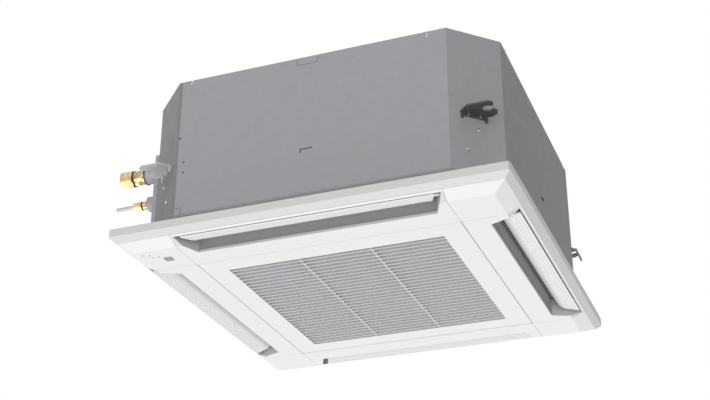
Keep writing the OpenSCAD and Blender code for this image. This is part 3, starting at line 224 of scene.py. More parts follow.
class CassetteFinish(bpy.types.PropertyGroup):
    """Colours and grain sizes of the finishes"""

    panel_white: colour_property("Panel", "Moulded white plastic", (0.83, 0.82, 0.825))
    sheet_grey: colour_property("Sheet", "Galvanised sheet of the casing", (0.47, 0.473, 0.495))
    bracket_grey: colour_property("Bracket", "Coated hanger plates", (0.1, 0.1, 0.104))
    # Painted shade on the rim's sloping outer band
    rim_band_shade: colour_property("Rim band", "Outer band of the rim, beyond the seam", (0.7, 0.7, 0.705))
    # Painted shade beside the long seams
    seam_shade: colour_property("Seam shade", "Edges of the long seams", (0.36, 0.36, 0.37))
    # Painted shade on the ducts' white lower lip
    duct_lip_shade: colour_property("Duct lip", "Lower edge of the outlet ducts' walls", (0.62, 0.62, 0.64))
    # Painted shade on the steep inner blade of the white vanes
    vane_inner_shade: colour_property("Inner blade", "Inner blade of the guide vanes", (0.66, 0.66, 0.67))
    # Painted light on the ducts' slanted end walls
    duct_end_light: colour_property("Duct ends", "Slanted end walls of the outlet ducts", (0.66, 0.66, 0.67))
    duct_grey: colour_property("Duct", "Walls of the outlet ducts", (0.275, 0.275, 0.285))
    # Painted light on the ducts' walls towards the casing
    duct_deep_light: colour_property("Duct depth", "Duct walls towards the casing", (0.52, 0.52, 0.54))
    # Painted shade on the white grille's slat feet, slat sides and cross bars
    slat_foot_shade: colour_property("Slats", "Feet of the intake grille's slats", (0.5, 0.5, 0.515))
    slat_side_shade: colour_property("Slat sides", "Leaning sides of the slats", (0.78, 0.78, 0.8))
    bar_shade: colour_property("Cross bars", "Bars across the slats", (0.66, 0.66, 0.67))
    brass: colour_property("Brass", "Flare nuts and pipe unions", (0.66, 0.49, 0.28))
    copper: colour_property("Copper", "Coil tubes", (0.7, 0.36, 0.22))
    foam_white: colour_property("Foam", "Expanded foam of the pan and the liner", (0.78, 0.78, 0.76))
    dark_plastic: colour_property("Dark plastic", "Inner mouldings", (0.05, 0.05, 0.055))
    plastic_grain: length_property("Plastic grain", "Width of the moulded plastic's texture", 0.6 * MM)
    spangle: length_property("Spangle", "Width of the zinc crystals on the sheet", 9 * MM)
    bead: length_property("Bead", "Width of the foam's beads", 3.5 * MM)
    edge_round: length_property("Edge round", "Softening of moulded edges", 0.6 * MM)


class CassetteDetail(bpy.types.PropertyGroup):
    """Sizes of the guide vanes' ribs and the casing screws' heads"""

    rib_count: IntProperty(name="Grooves", description="Grooves along a guide vane", default=4, min=1)
    rib_pitch: length_property("Rib pitch", "Distance between two grooves", 5.2 * MM)
    groove_w: length_property("Groove width", "Width of a groove at the face", 1.3 * MM)
    groove_side: length_property("Groove side", "Width of a groove's slanted side", 0.26 * MM)
    groove_depth: length_property("Groove depth", "Depth of a groove", 0.8 * MM)
    dome_r: length_property("Dome radius", "Radius of a screw head's dome", 3.2 * MM)
    dome_h: length_property("Dome height", "Height of the dome over its foot", 1.7 * MM)
    cross_reach: length_property("Cross reach", "Half length of the cross recess", 2 * MM)
    cross_half: length_property("Cross half width", "Half width of the recess's arms", 0.5 * MM)
    cross_depth: length_property("Cross depth", "Depth of the recess at its middle", 1.5 * MM)


class CassetteStudio(bpy.types.PropertyGroup):
    """Camera and light"""

    camera_place: FloatVectorProperty(
        name="Camera place", description="Where the camera stands", size=3, subtype="TRANSLATION",
        default=(0.67988, -1.87268, -0.97788),
    )
    camera_turn: FloatVectorProperty(
        name="Camera turn", description="Which way the camera looks", size=3, subtype="EULER",
        unit="ROTATION", default=[math.radians(angle) for angle in CAMERA_TURN],
    )
    lens: FloatProperty(
        name="Lens", description="Focal length on a 36 mm sensor", default=67.13, unit="CAMERA"
    )
    ambient: strength_property("Ambient", "Light from all round", 0.31)
    below_strength: strength_property("Light from below", "Light on the panel", 2.13)
    front_strength: strength_property("Light from the front", "Light on the casing's near side", 1.08)
    above_strength: strength_property("Light from above", "Light on the top", 1.4)
    floor_drop: length_property("Floor drop", "Depth of the floor below the suspension hooks", 2.6)


def finish():
    """The finish settings of this scene"""
    return bpy.context.scene.cassette_finish


def detail():
    """The sizes of the small forms in this scene"""
    return bpy.context.scene.cassette_detail


def studio():
    """The studio settings of this scene"""
    return bpy.context.scene.cassette_studio


class Material:
    """A node material under construction, with short ways to add the usual nodes"""

    def __init__(self, name, colour, roughness, metallic=0.0, specular=0.5):
        self.material = bpy.data.materials.new(name)
        self.material.use_nodes = True
        self.tree = self.material.node_tree
        self.shader = self.tree.nodes["Principled BSDF"]
        self.colour = tuple(colour)
        self.shader.inputs["Base Color"].default_value = (*self.colour, 1)
        self.shader.inputs["Roughness"].default_value = roughness
        self.shader.inputs["Metallic"].default_value = metallic
        self.shader.inputs["Specular IOR Level"].default_value = specular
        coordinates = self.tree.nodes.new("ShaderNodeTexCoord")
        self.place = coordinates.outputs["Object"]
        self.normal = None
        self.base = None

    def add(self, kind, **values):
        """A new node with the given settings"""
        node = self.tree.nodes.new(kind)
        for key, value in values.items():
            setattr(node, key, value)
        return node

    def link(self, source, target):
        """A link between two sockets"""
        self.tree.links.new(source, target)

    def noise(self, width, detail=3.0, stretch=(1, 1, 1)):
        """Noise whose features are about as wide as the given length"""
        mapping = self.add("ShaderNodeMapping")
        mapping.inputs["Scale"].default_value = [part / width for part in stretch]
        self.link(self.place, mapping.inputs["Vector"])
        texture = self.add("ShaderNodeTexNoise")
        texture.inputs["Scale"].default_value = 1.0
        texture.inputs["Detail"].default_value = detail
        self.link(mapping.outputs["Vector"], texture.inputs["Vector"])
        return texture.outputs["Fac"]

    def cells(self, width):
        """Cells about as wide as the given length: the sockets of their distance and colour"""
        texture = self.add("ShaderNodeTexVoronoi", feature="F1")
        texture.inputs["Scale"].default_value = 1.0 / width
        self.link(self.place, texture.inputs["Vector"])
        return texture.outputs

    def ramp(self, source, low, high, low_value, high_value):
        """Maps a range of one socket to a range of values"""
        node = self.add("ShaderNodeMapRange")
        node.inputs["From Min"].default_value = low
        node.inputs["From Max"].default_value = high
        node.inputs["To Min"].default_value = low_value
        node.inputs["To Max"].default_value = high_value
        self.link(source, node.inputs["Value"])
        return node.outputs["Result"]

    def blend_colour(self, factor, low, high):
        """Sets the base colour to a blend of two colours, each a tuple or a socket"""
        mix = self.add("ShaderNodeMix", data_type="RGBA")
        ends = [socket for socket in mix.inputs if socket.type == "RGBA"]
        for end, value in zip(ends, (low, high)):
            if isinstance(value, bpy.types.NodeSocket):
                self.link(value, end)
            else:
                end.default_value = (*value, 1)
        self.link(factor, mix.inputs["Factor"])
        self.base = [socket for socket in mix.outputs if socket.type == "RGBA"][0]
        self.link(self.base, self.shader.inputs["Base Color"])

    def vary_colour(self, source, depth, tint=(1, 1, 1)):
        """Darkens the base colour by up to depth where the source is low"""
        dark = [part * (1 - depth) * shade for part, shade in zip(self.colour, tint)]
        self.blend_colour(source, dark, self.colour)

    def shade(self, factor, share):
        """Leaves only a share of the material's first colour where the factor is one"""
        self.blend_colour(factor, self.base, [part * share for part in self.colour])

    def calculate(self, operation, *values):
        """Result of one step of arithmetic on sockets or numbers"""
        node = self.add("ShaderNodeMath", operation=operation)
        for slot, value in zip(node.inputs, values):
            if isinstance(value, bpy.types.NodeSocket):
                self.link(value, slot)
            else:
                slot.default_value = value
        return node.outputs["Value"]

    def along(self, axis):
        """Place along one axis in the part's frame"""
        split = self.add("ShaderNodeSeparateXYZ")
        self.link(self.place, split.inputs["Vector"])
        return split.outputs[axis]

    def sides(self):
        """Distances from the two centre planes"""
        return [self.calculate("ABSOLUTE", self.along(axis)) for axis in ("X", "Y")]

    def reach(self):
        """Distance from the vertical centre line, measured squarely like the panel's outline"""
        return self.calculate("MAXIMUM", *self.sides())

    def narrow_reach(self):
        """The smaller of the two distances from the centre planes"""
        return self.calculate("MINIMUM", *self.sides())

    def within(self, source, low, high, soft=0.2 * MM):
        """One between two values of a socket and nought outside, with a soft edge"""
        rise = self.ramp(source, low - soft, low + soft, 0, 1)
        fall = self.ramp(source, high - soft, high + soft, 1, 0)
        return self.calculate("MULTIPLY", rise, fall)

    def vary_roughness(self, source, low, high):
        """Spreads the roughness between two values over the middle of the source's range"""
        self.link(self.ramp(source, 0.3, 0.7, low, high), self.shader.inputs["Roughness"])

    def bump(self, source, height):
        """Adds relief of the given height"""
        node = self.add("ShaderNodeBump")
        node.inputs["Distance"].default_value = height
        node.inputs["Strength"].default_value = 1.0
        self.link(source, node.inputs["Height"])
        if self.normal is not None:
            self.link(self.normal, node.inputs["Normal"])
        self.normal = node.outputs["Normal"]
        self.link(self.normal, self.shader.inputs["Normal"])

    def round_edges(self, radius):
        """Softens sharp edges in the light"""
        node = self.add("ShaderNodeBevel", samples=6)
        node.inputs["Radius"].default_value = radius
        self.normal = node.outputs["Normal"]
        self.link(self.normal, self.shader.inputs["Normal"])


def moulded_plastic(name, colour, roughness=0.42):
    """Satin moulded plastic: fine spark-eroded texture and faint flow marks"""
    made = Material(name, colour, roughness, specular=0.2)
    made.round_edges(finish().edge_round)
    made.bump(made.noise(finish().plastic_grain, detail=2), height=0.012 * MM)
    made.vary_colour(made.noise(90 * MM, detail=2), depth=0.015)
    made.vary_roughness(made.noise(25 * MM), low=roughness - 0.04, high=roughness + 0.05)
    return made


def panel_plastic():
    """Moulded white, grey inside the four outlet ducts, with painted light on the ducts' upper walls
    and slanted ends and painted shade on their lower lip, the rim's outer band and the long seams
    """
    made = moulded_plastic("panel_white", finish().panel_white)
    above_face = made.within(made.along("Z"), FACE_Z + FACE_SKIN, FACE_Z + PANEL_H)
    in_duct = made.within(made.reach(), DUCT_INNER, DUCT_OUTER)
    walls = made.calculate("MULTIPLY", in_duct, above_face)
    made.blend_colour(walls, made.base, finish().duct_grey)
    # Painted light: the duct walls lighter towards the casing, where shade falls
    depth = made.ramp(made.along("Z"), FACE_Z + DUCT_LIP_H, FACE_Z + DUCT_DEEP_H, 0, 1)
    made.blend_colour(made.calculate("MULTIPLY", walls, depth), made.base, finish().duct_deep_light)
    # Painted light: the ducts' slanted end walls lighter, where they lie in shade
    ends = made.within(made.narrow_reach(), OUTLET_HALF, DUCT_OUTER)
    made.blend_colour(made.calculate("MULTIPLY", walls, ends), made.base, finish().duct_end_light)
    # Painted shade: the white lower lip of the ducts' inner walls shown light grey
    lip = made.within(made.reach(), DUCT_INNER, DUCT_INNER + DUCT_LIP_W)
    low = made.within(made.along("Z"), FACE_Z + FACE_SKIN, FACE_Z + DUCT_LIP_H)
    made.blend_colour(made.calculate("MULTIPLY", lip, low), made.base, finish().duct_lip_shade)
    # Painted shade: the rim's outer band, beyond the seam, greyer than the face
    band = made.within(made.reach(), RIM_SEAM, RIM_EDGE)
    made.blend_colour(band, made.base, finish().rim_band_shade)
    shade_seams(made, GRILLE_HALF, GRILLE_HALF + SEAM_SHADE_W)
    return made.material


def shade_seams(made, low, high):
    """Darkens the narrow stretch beside the seams that run along Y with painted shade"""
    side = made.calculate("ABSOLUTE", made.along("X"))
    face = made.within(made.along("Z"), FACE_Z - MM, FACE_Z + SEAM_SHADE_H)
    seam = made.calculate("MULTIPLY", made.within(side, low, high, soft=0.1 * MM), face)
    # Painted shade beside the seams that run along Y
    made.blend_colour(seam, made.base, finish().seam_shade)


def grille_plastic():
    """Moulded white with painted shade on the slats and cross bars: grey on the slats' feet, lighter
    on the bars and palest on the slats' sides
    """
    made = moulded_plastic("grille_white", finish().panel_white, roughness=0.4)
    # Painted shade: the white slats and cross bars greyer than the grille's frame
    field = made.within(made.reach(), -SLAT_FIELD_HALF, SLAT_FIELD_HALF)
    from_bar = made.calculate("SUBTRACT", made.calculate("ABSOLUTE", made.along("X")), BAR_OFFSET)
    slats = made.calculate("SUBTRACT", field, made.within(from_bar, -BAR_HALF, BAR_HALF))
    made.blend_colour(field, made.base, finish().bar_shade)
    made.blend_colour(slats, made.base, finish().slat_foot_shade)
    above_foot = made.within(made.along("Z"), FACE_Z + SLAT_FOOT_H, FACE_Z + PANEL_H)
    sides = made.calculate("MULTIPLY", slats, above_foot)
    made.blend_colour(sides, made.base, finish().slat_side_shade)
    shade_seams(made, GRILLE_HALF - SEAM_SHADE_W, GRILLE_HALF)
    return made.material


def galvanised_sheet(name, colour):
    """Zinc-coated sheet: faint spangle, rolling grain and slight waves"""
    made = Material(name, colour, roughness=0.55, specular=0.06)
    made.round_edges(0.4 * MM)
    crystals = made.add("ShaderNodeSeparateColor")
    made.link(made.cells(finish().spangle)["Color"], crystals.inputs["Color"])
    made.vary_colour(crystals.outputs["Red"], depth=0.035)
    made.vary_roughness(made.noise(14 * MM), low=0.42, high=0.58)
    made.bump(made.noise(1.2 * MM, detail=2, stretch=(1, 1, 0.25)), height=0.008 * MM)
    made.bump(made.noise(160 * MM, detail=1), height=0.22 * MM)
    return made


def casing_sheet():
    """Zinc-coated sheet with painted shade along its foot, on the near-left cut corner and on the
    right wall
    """
    made = galvanised_sheet("casing_sheet", finish().sheet_grey)
    # Painted shade: the sheet darker towards its foot, just over the panel's rim
    foot_shade_mask = made.within(made.along("Z"), FACE_Z, FACE_Z + FOOT_SHADE_H, soft=FOOT_SHADE_SOFT)
    made.shade(foot_shade_mask, FOOT_PAINTED_SHADE)
    # Painted shade: the near-left cut corner darker than the near side
    both = made.calculate("ADD", made.along("X"), made.along("Y"))
    near_left = made.calculate("MULTIPLY", both, -math.sqrt(0.5))
    corner = made.within(near_left, CUT_FACE - CUT_CORNER_LAYER, CUT_FACE + CUT_CORNER_LAYER)
    made.shade(corner, CUT_CORNER_PAINTED_SHADE)
    # Painted shade: the right wall darker than the near side
    to_right = made.along("X")
    wall = made.within(to_right, CASING_HALF - RIGHT_WALL_LAYER, CASING_HALF + RIGHT_WALL_LAYER)
    made.shade(wall, RIGHT_WALL_PAINTED_SHADE)
    return made.material


def coated_steel(name, colour):
    """Dark coated steel with a fine orange peel"""
    made = Material(name, colour, roughness=0.4)
    made.round_edges(0.35 * MM)
    made.bump(made.noise(1.5 * MM, detail=1), height=0.012 * MM)
    made.vary_colour(made.noise(12 * MM), depth=0.12)
    made.vary_roughness(made.noise(6 * MM), low=0.34, high=0.48)
    return made.material


def bare_metal(name, colour, roughness, tarnish=0.14):
    """Machined or drawn metal: fine tool marks and a little tarnish"""
    made = Material(name, colour, roughness, metallic=1.0)
    made.round_edges(0.3 * MM)
    made.bump(made.noise(0.35 * MM, detail=1, stretch=(1, 0.15, 0.15)), height=0.006 * MM)
    patches = made.ramp(made.noise(8 * MM), 0.4, 0.6, 0, 1)
    made.vary_colour(patches, depth=tarnish, tint=(0.95, 0.9, 0.85))
    made.vary_roughness(made.noise(3 * MM), low=roughness - 0.07, high=roughness + 0.1)
    return made.material


def bead_foam(name, colour):
    """Expanded foam: the beads' rounded cells, with painted shade in the creases between them"""
    made = Material(name, colour, roughness=0.75)
    made.round_edges(1.2 * MM)
    beads = made.cells(finish().bead)
    made.bump(made.ramp(beads["Distance"], 0, 0.7, 1, 0), height=0.15 * MM)
    # Painted shade in the creases between the beads
    made.vary_colour(made.ramp(beads["Distance"], 0.25, 0.7, 1, 0), depth=0.08)
    return made.material


def open_foam(name, colour):
    """Soft open-cell foam strip, with painted shade in its pores"""
    made = Material(name, colour, roughness=0.95)
    pores = made.cells(1.1 * MM)
    made.bump(pores["Distance"], height=0.3 * MM)
    # Painted shade in the pores
    made.vary_colour(pores["Distance"], depth=0.5)
    return made.material


def moulded_rubber(name, colour):
    """Matt rubber with a bloom"""
    made = Material(name, colour, roughness=0.7)
    made.round_edges(0.5 * MM)
    made.bump(made.noise(0.8 * MM, detail=2), height=0.02 * MM)
    made.vary_colour(made.noise(9 * MM), depth=0.25)
    return made.material


def finned_aluminium(name, colour):
    """Coil block: upright fins drawn as narrow ridges round the block, with painted shade between them
    """
    made = Material(name, colour, roughness=0.45, metallic=0.8)
    upright = made.add("ShaderNodeMapping")
    upright.inputs["Scale"].default_value = (FIN_SCALE, FIN_SCALE, 0)
    made.link(made.place, upright.inputs["Vector"])
    fins = made.add("ShaderNodeTexWave", wave_type="BANDS", bands_direction="DIAGONAL")
    fins.inputs["Scale"].default_value = 1.0
    made.link(upright.outputs["Vector"], fins.inputs["Vector"])
    made.bump(fins.outputs["Fac"], height=0.5 * MM)
    # Painted shade in the gaps between the fins
    made.vary_colour(fins.outputs["Fac"], depth=0.55)
    return made.material


def filter_net(name, colour):
    """Pale filter: a woven net of fine square meshes"""
    made = Material(name, colour, roughness=0.6)
    for direction in ("X", "Y"):
        threads = made.add("ShaderNodeTexWave", wave_type="BANDS", bands_direction=direction)
        threads.inputs["Scale"].default_value = NET_SCALE
        made.link(made.place, threads.inputs["Vector"])
        made.bump(threads.outputs["Fac"], height=0.1 * MM)
    made.vary_colour(made.noise(20 * MM), depth=0.2)
    return made.material


def dress(names, material):
    """Gives the named CAD nodes one material"""
    for name in names:
        mesh = NODES[name].data
        mesh.materials.clear()
        mesh.materials.append(material)


def nodes_starting(*starts):
    """Names of the CAD nodes that begin with one of the given words"""
    return [name for name in sorted(NODES) if name.startswith(starts)]


def turned(angle):
    """Turn about the part's vertical centre line, in degrees"""
    return Matrix.Rotation(math.radians(angle), 4, "Z")


def add_loft(shape, rings):
    """Joins rings of points with faces and closes the two ends"""
    corners = [[shape.verts.new(point) for point in ring] for ring in rings]
    count = len(rings[0])
    for low, high in zip(corners, corners[1:]):
        for i in range(count):
            after = (i + 1) % count
            shape.faces.new((low[i], low[after], high[after], high[i]))
    shape.faces.new(list(reversed(corners[0])))
    shape.faces.new(corners[-1])


def add_lathe(shape, profile, place, steps=32):
    """Turns a profile of (radius, height) points about an axis given as a matrix"""
    angles = [math.tau * i / steps for i in range(steps)]
    rings = []
    for radius, height in profile:
        rings.append([
            place @ Vector((radius * math.cos(angle), radius * math.sin(angle), height))
            for angle in angles
        ])
    add_loft(shape, rings)


def make_piece(name, shape, material, body, sharp=35):
    """Turns the built shape into an object that rides on a body, with edges sharp from an angle"""
    bmesh.ops.recalc_face_normals(shape, faces=shape.faces)
    mesh = bpy.data.meshes.new(name)
    shape.to_mesh(mesh)
    shape.free()
    mesh.shade_smooth()
    mesh.set_sharp_from_angle(angle=math.radians(sharp))
    mesh.materials.append(material)
    piece = bpy.data.objects.new(name, mesh)
    bpy.context.scene.collection.objects.link(piece)
    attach(piece, body)
    return piece


def arc(centre, radius, start, end, steps):
    """Points on an arc between two angles in degrees"""
    points = []
    for i in range(steps + 1):
        angle = math.radians(start + (end - start) * i / steps)
        points.append(centre + radius * Vector((math.cos(angle), math.sin(angle))))
    return points


def vane_profile():
    """Outline across a guide vane, as distance and height: ribbed blade, bend and inner blade"""
    sizes = detail()
    tilt = math.radians(VANE_TILT)
    along = Vector((-math.cos(tilt), math.sin(tilt)))
    up = Vector((math.sin(tilt), math.cos(tilt)))
    edge = Vector((VANE_EDGE_R, FACE_Z + VANE_EDGE_Z))
    bend = edge + VANE_FLAT_W * along
    edge_centre = edge + VANE_ROUND * along + VANE_ROUND * up
    skin = arc(edge_centre, VANE_ROUND, 90 - VANE_TILT, -90 - VANE_TILT, EDGE_STEPS)
    for i in reversed(range(sizes.rib_count)):
        inner = bend - i * sizes.rib_pitch * along
        outer = inner - sizes.groove_w * along
        floor = sizes.groove_depth * up
        side = sizes.groove_side * along
        skin += [outer, outer + floor + side, inner + floor - side, inner]
    bend_centre = bend + VANE_BEND_R * up
    skin += arc(bend_centre, VANE_BEND_R, -90 - VANE_TILT, -90 - VANE_RISE, BEND_STEPS)[1:]
    steep = math.radians(90 - VANE_RISE)
    rise = Vector((-math.sin(steep), math.cos(steep)))
    inward = Vector((rise.y, -rise.x))
    tip = skin[-1] + VANE_RISE_W * rise
    skin += [tip, tip + VANE_T * inward]
    skin += arc(bend_centre, VANE_BEND_R - VANE_T, -90 - VANE_RISE, -90 - VANE_TILT, BEND_STEPS)
    return skin


def vane_end(reach, sign):
    """Place of a vane's slanted end along its length, at a distance from the centre line"""
    return sign * (OUTLET_HALF + (reach - OUTLET_IN) * END_SLANT - VANE_END_GAP)


def ear_outline():
    """Outline of an ear, as distance and height: round over the pivot and wider at its foot"""
    pivot = Vector((PIVOT_R, FACE_Z + PIVOT_Z))
    foot = FACE_Z + EAR_FOOT_Z
    inner_foot = Vector((PIVOT_R - EAR_R - EAR_FOOT_IN, foot))
    outer_foot = Vector((PIVOT_R + EAR_R + EAR_FOOT_OUT, foot - EAR_FOOT_DROP))
    return arc(pivot, EAR_R, 0, 180, EAR_STEPS) + [inner_foot, outer_foot]


def add_vane(shape, turn):
    """One guide vane with its two ears and pivot pins"""
    profile = vane_profile()
    ends = []
    for sign in (-1, 1):
        ends.append([turn @ Vector((point.x, vane_end(point.x, sign), point.y)) for point in profile])
    add_loft(shape, ends)
    ear = ear_outline()
    pin = [
        (PIN_COLLAR_R, 0), (PIN_COLLAR_R, PIN_COLLAR_L), (PIN_R, PIN_CONE_END),
        (PIN_R, PIN_L), (PIN_R - PIN_TIP, PIN_L + PIN_TIP),
    ]
    for sign in (-1, 1):
        faces = [sign * (EAR_Y - EAR_T), sign * EAR_Y]
        add_loft(shape, [[turn @ Vector((point.x, y, point.y)) for point in ear] for y in faces])
        place = Matrix.Translation((PIVOT_R, sign * EAR_Y, FACE_Z + PIVOT_Z))
        outward = Matrix.Rotation(-sign * math.pi / 2, 4, "X")
        add_lathe(shape, pin, turn @ place @ outward)


class CASSETTE_OT_vanes(bpy.types.Operator):
    """Makes the four guide vanes with their ribs and slanted ends, over the plain ones"""

    bl_idname = "cassette.vanes"
    bl_label = "Guide vanes"

    def execute(self, context):
        plastic = moulded_plastic("vane_white", finish().panel_white, roughness=0.36)
        # Painted shade: the steep inner blade greyer than the ribbed blade
        outermost = VANE_EDGE_R - VANE_FLAT_W - INNER_BLADE_SOFT
        inner_blade = plastic.within(plastic.reach(), DUCT_INNER, outermost, soft=INNER_BLADE_SOFT)
        plastic.blend_colour(inner_blade, plastic.base, finish().vane_inner_shade)
        white = plastic.material
        for side, angle in (("right", 0), ("far", 90), ("left", 180), ("near", 270)):
            shape = bmesh.new()
            add_vane(shape, turned(angle))
            vane = make_piece("guide_vane_" + side, shape, white, side + "_vane")
            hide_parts("vane_" + side)
        return {"FINISHED"}


def head_height(x, y):
    """Height of a screw head's face over the sheet: flat rim, dome and cross recess"""
    sizes = detail()
    radius = math.hypot(x, y)
    if radius >= sizes.dome_r:
        return RIM_T
    dome = DOME_FOOT_H + sizes.dome_h * math.sqrt(1 - (radius / sizes.dome_r) ** DOME_POWER)
    long_way = max(abs(x), abs(y))
    short_way = min(abs(x), abs(y))
    if long_way >= sizes.cross_reach or short_way > sizes.cross_half:
        return dome
    return dome - sizes.cross_depth * (1 - CROSS_TAPER * long_way / sizes.cross_reach)


def add_pan_head(shape, place):
    """A domed screw head with a thin rim and a cross recess, as rings of points round its middle"""
    middle = shape.verts.new(place @ Vector((0, 0, head_height(0, 0))))
    angles = [math.tau * i / HEAD_STEPS for i in range(HEAD_STEPS)]
    rings = []
    for radius in HEAD_RINGS:
        ring = []
        for angle in angles:
            x = radius * math.cos(angle)
            y = radius * math.sin(angle)
            ring.append(shape.verts.new(place @ Vector((x, y, head_height(x, y)))))
        rings.append(ring)
    down = place.to_3x3() @ Vector((0, 0, -RIM_T))
    foot = [shape.verts.new(corner.co + down) for corner in rings[-1]]
    for i in range(HEAD_STEPS):
        after = (i + 1) % HEAD_STEPS
        shape.faces.new((middle, rings[0][i], rings[0][after]))
    for low, high in zip(rings, rings[1:] + [foot]):
        for i in range(HEAD_STEPS):
            after = (i + 1) % HEAD_STEPS
            shape.faces.new((low[i], high[i], high[after], low[after]))
    shape.faces.new(foot)


def screw_places():
    """Places of the casing screws, with Z out of the sheet: upper edges first, then cut corners"""
    edge_out = Matrix.Rotation(math.pi / 2, 4, "X")
    for angle in (0, 90, 180, 270):
        for along, height in EDGE_SCREWS:
            yield turned(angle) @ Matrix.Translation((along, -CASING_HALF, height)) @ edge_out
    corner_out = Matrix.Rotation(-math.pi / 2, 4, "X")
    for angle, mirror in ((-45, 1), (-135, -1), (135, 1), (45, -1)):
        for along, height in CORNER_SCREWS:
            spot = Matrix.Translation((mirror * along, CUT_FACE, height))
            yield turned(angle) @ spot @ corner_out


class CASSETTE_OT_screws(bpy.types.Operator):
    """Makes the casing screws' domed heads with cross recesses, over the plain ones"""

    bl_idname = "cassette.screws"
    bl_label = "Casing screws"

    def execute(self, context):
        zinc = bare_metal("screw_zinc", (0.44, 0.44, 0.46), roughness=0.36)
        shank = [
            (SHANK_R - SHANK_TAPER, -SHANK_L),
            (SHANK_R, -SHANK_L + SHANK_TAPER),
            (SHANK_R, 0),
        ]
        shape = bmesh.new()
        for place in screw_places():
            add_pan_head(shape, place)
            add_lathe(shape, shank, place, steps=SHANK_STEPS)
        screws = make_piece("pan_head_screws", shape, zinc, "unit", sharp=30)
        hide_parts("casing_screws")
        return {"FINISHED"}


class CASSETTE_OT_panel(bpy.types.Operator):
    """Finishes the panel's mouldings: frame and corner covers"""

    bl_idname = "cassette.panel"
    bl_label = "Panel mouldings"

    def execute(self, context):
        dress(["panel_frame"], panel_plastic())
        cover = moulded_plastic("cover_white", finish().panel_white).material
        dress(nodes_starting("corner_cover"), cover)
        return {"FINISHED"}


class CASSETTE_OT_grille(bpy.types.Operator):
    """Finishes the intake grille, its filter and its latches"""

    bl_idname = "cassette.grille"
    bl_label = "Intake grille"

    def execute(self, context):
        dress(["intake_grille"], grille_plastic())
        dress(["air_filter"], filter_net("filter_net", (0.85, 0.85, 0.86)))
        latch = moulded_plastic("latch_grey", (0.3, 0.3, 0.31)).material
        dress(nodes_starting("grille_latch"), latch)
        return {"FINISHED"}


class CASSETTE_OT_receiver(bpy.types.Operator):
    """Finishes the receiver window, its lamps, board and button"""

    bl_idname = "cassette.receiver"
    bl_label = "Receiver"

    def execute(self, context):
        window = moulded_plastic("receiver_window", (0.3, 0.3, 0.32), roughness=0.22).material
        dress(["receiver_window"], window)
        lamps = moulded_plastic("lamp_grey", (0.1, 0.1, 0.11), roughness=0.25).material
        dress(["indicator_lamps"], lamps)
        dress(["manual_button"], moulded_plastic("button_white", (0.7, 0.7, 0.7)).material)
        dress(["receiver_board"], moulded_plastic("board_green", (0.02, 0.09, 0.04)).material)
        return {"FINISHED"}


class CASSETTE_OT_casing(bpy.types.Operator):
    """Finishes the casing's sheet, its top plate, the pipe cover and the control box"""

    bl_idname = "cassette.casing"
    bl_label = "Casing sheet"

    def execute(self, context):
        dress(["casing_shell"], casing_sheet())
        sheet = galvanised_sheet("galvanised_sheet", finish().sheet_grey).material
        dress(nodes_starting("casing_top_plate", "pipe_cover", "control_box"), sheet)
        return {"FINISHED"}


class CASSETTE_OT_hangers(bpy.types.Operator):
    """Finishes the hanger plates, their rivets and the panel's screws"""

    bl_idname = "cassette.hangers"
    bl_label = "Hangers and fasteners"

    def execute(self, context):
        dark = coated_steel("bracket_coat", finish().bracket_grey)
        dress(["hanger_near_right", "hanger_far_right", "hanger_keeper"], dark)
        # Zinc-coated sheet, lighter than the casing's sheet as painted light where the panel's shadow
        # falls on the left hangers
        light = galvanised_sheet("hanger_zinc", (0.72, 0.72, 0.74)).material
        dress(["hanger_near_left", "hanger_far_left"], light)
        zinc = bare_metal("zinc_steel", (0.55, 0.55, 0.57), roughness=0.4)
        dress(["hanger_rivets", "panel_screws"], zinc)
        return {"FINISHED"}


class CASSETTE_OT_pipes(bpy.types.Operator):
    """Finishes the pipe unions, flare nuts, stub tube and drain socket, and makes the dark rings"""

    bl_idname = "cassette.pipes"
    bl_label = "Pipe connections"

    def execute(self, context):
        brass = bare_metal("brass", finish().brass, roughness=0.5)
        dress(["gas_flare_nut", "liquid_flare_nut"], brass)
        tarnished = bare_metal("tarnished_brass", finish().brass, roughness=0.42, tarnish=0.65)
        dress(["gas_union", "liquid_union"], tarnished)
        self.sealing_rings()
        dress(["liquid_stub_tube"], moulded_rubber("white_cap", (0.75, 0.74, 0.73)))
        dress(["drain_socket"], moulded_plastic("drain_black", finish().dark_plastic).material)
        return {"FINISHED"}

    def sealing_rings(self):
        """Dark rings behind each flare nut and before each collar of the pipe cover"""
        rubber = moulded_rubber("ring_rubber", (0.03, 0.026, 0.022))
        rightwards = Matrix.Rotation(math.pi / 2, 4, "Y")
        for name, height, inner, rings in PIPE_RINGS:
            shape = bmesh.new()
            for start, width, outer in rings:
                place = Matrix.Translation((-CASING_HALF - start, PIPE_Y, height))
                edge = width / 4
                profile = [
                    (inner, 0), (outer - edge, 0), (outer, edge),
                    (outer, width - edge), (outer - edge, width), (inner, width),
                ]
                add_lathe(shape, profile, place @ rightwards)
            make_piece(name, shape, rubber, "unit")


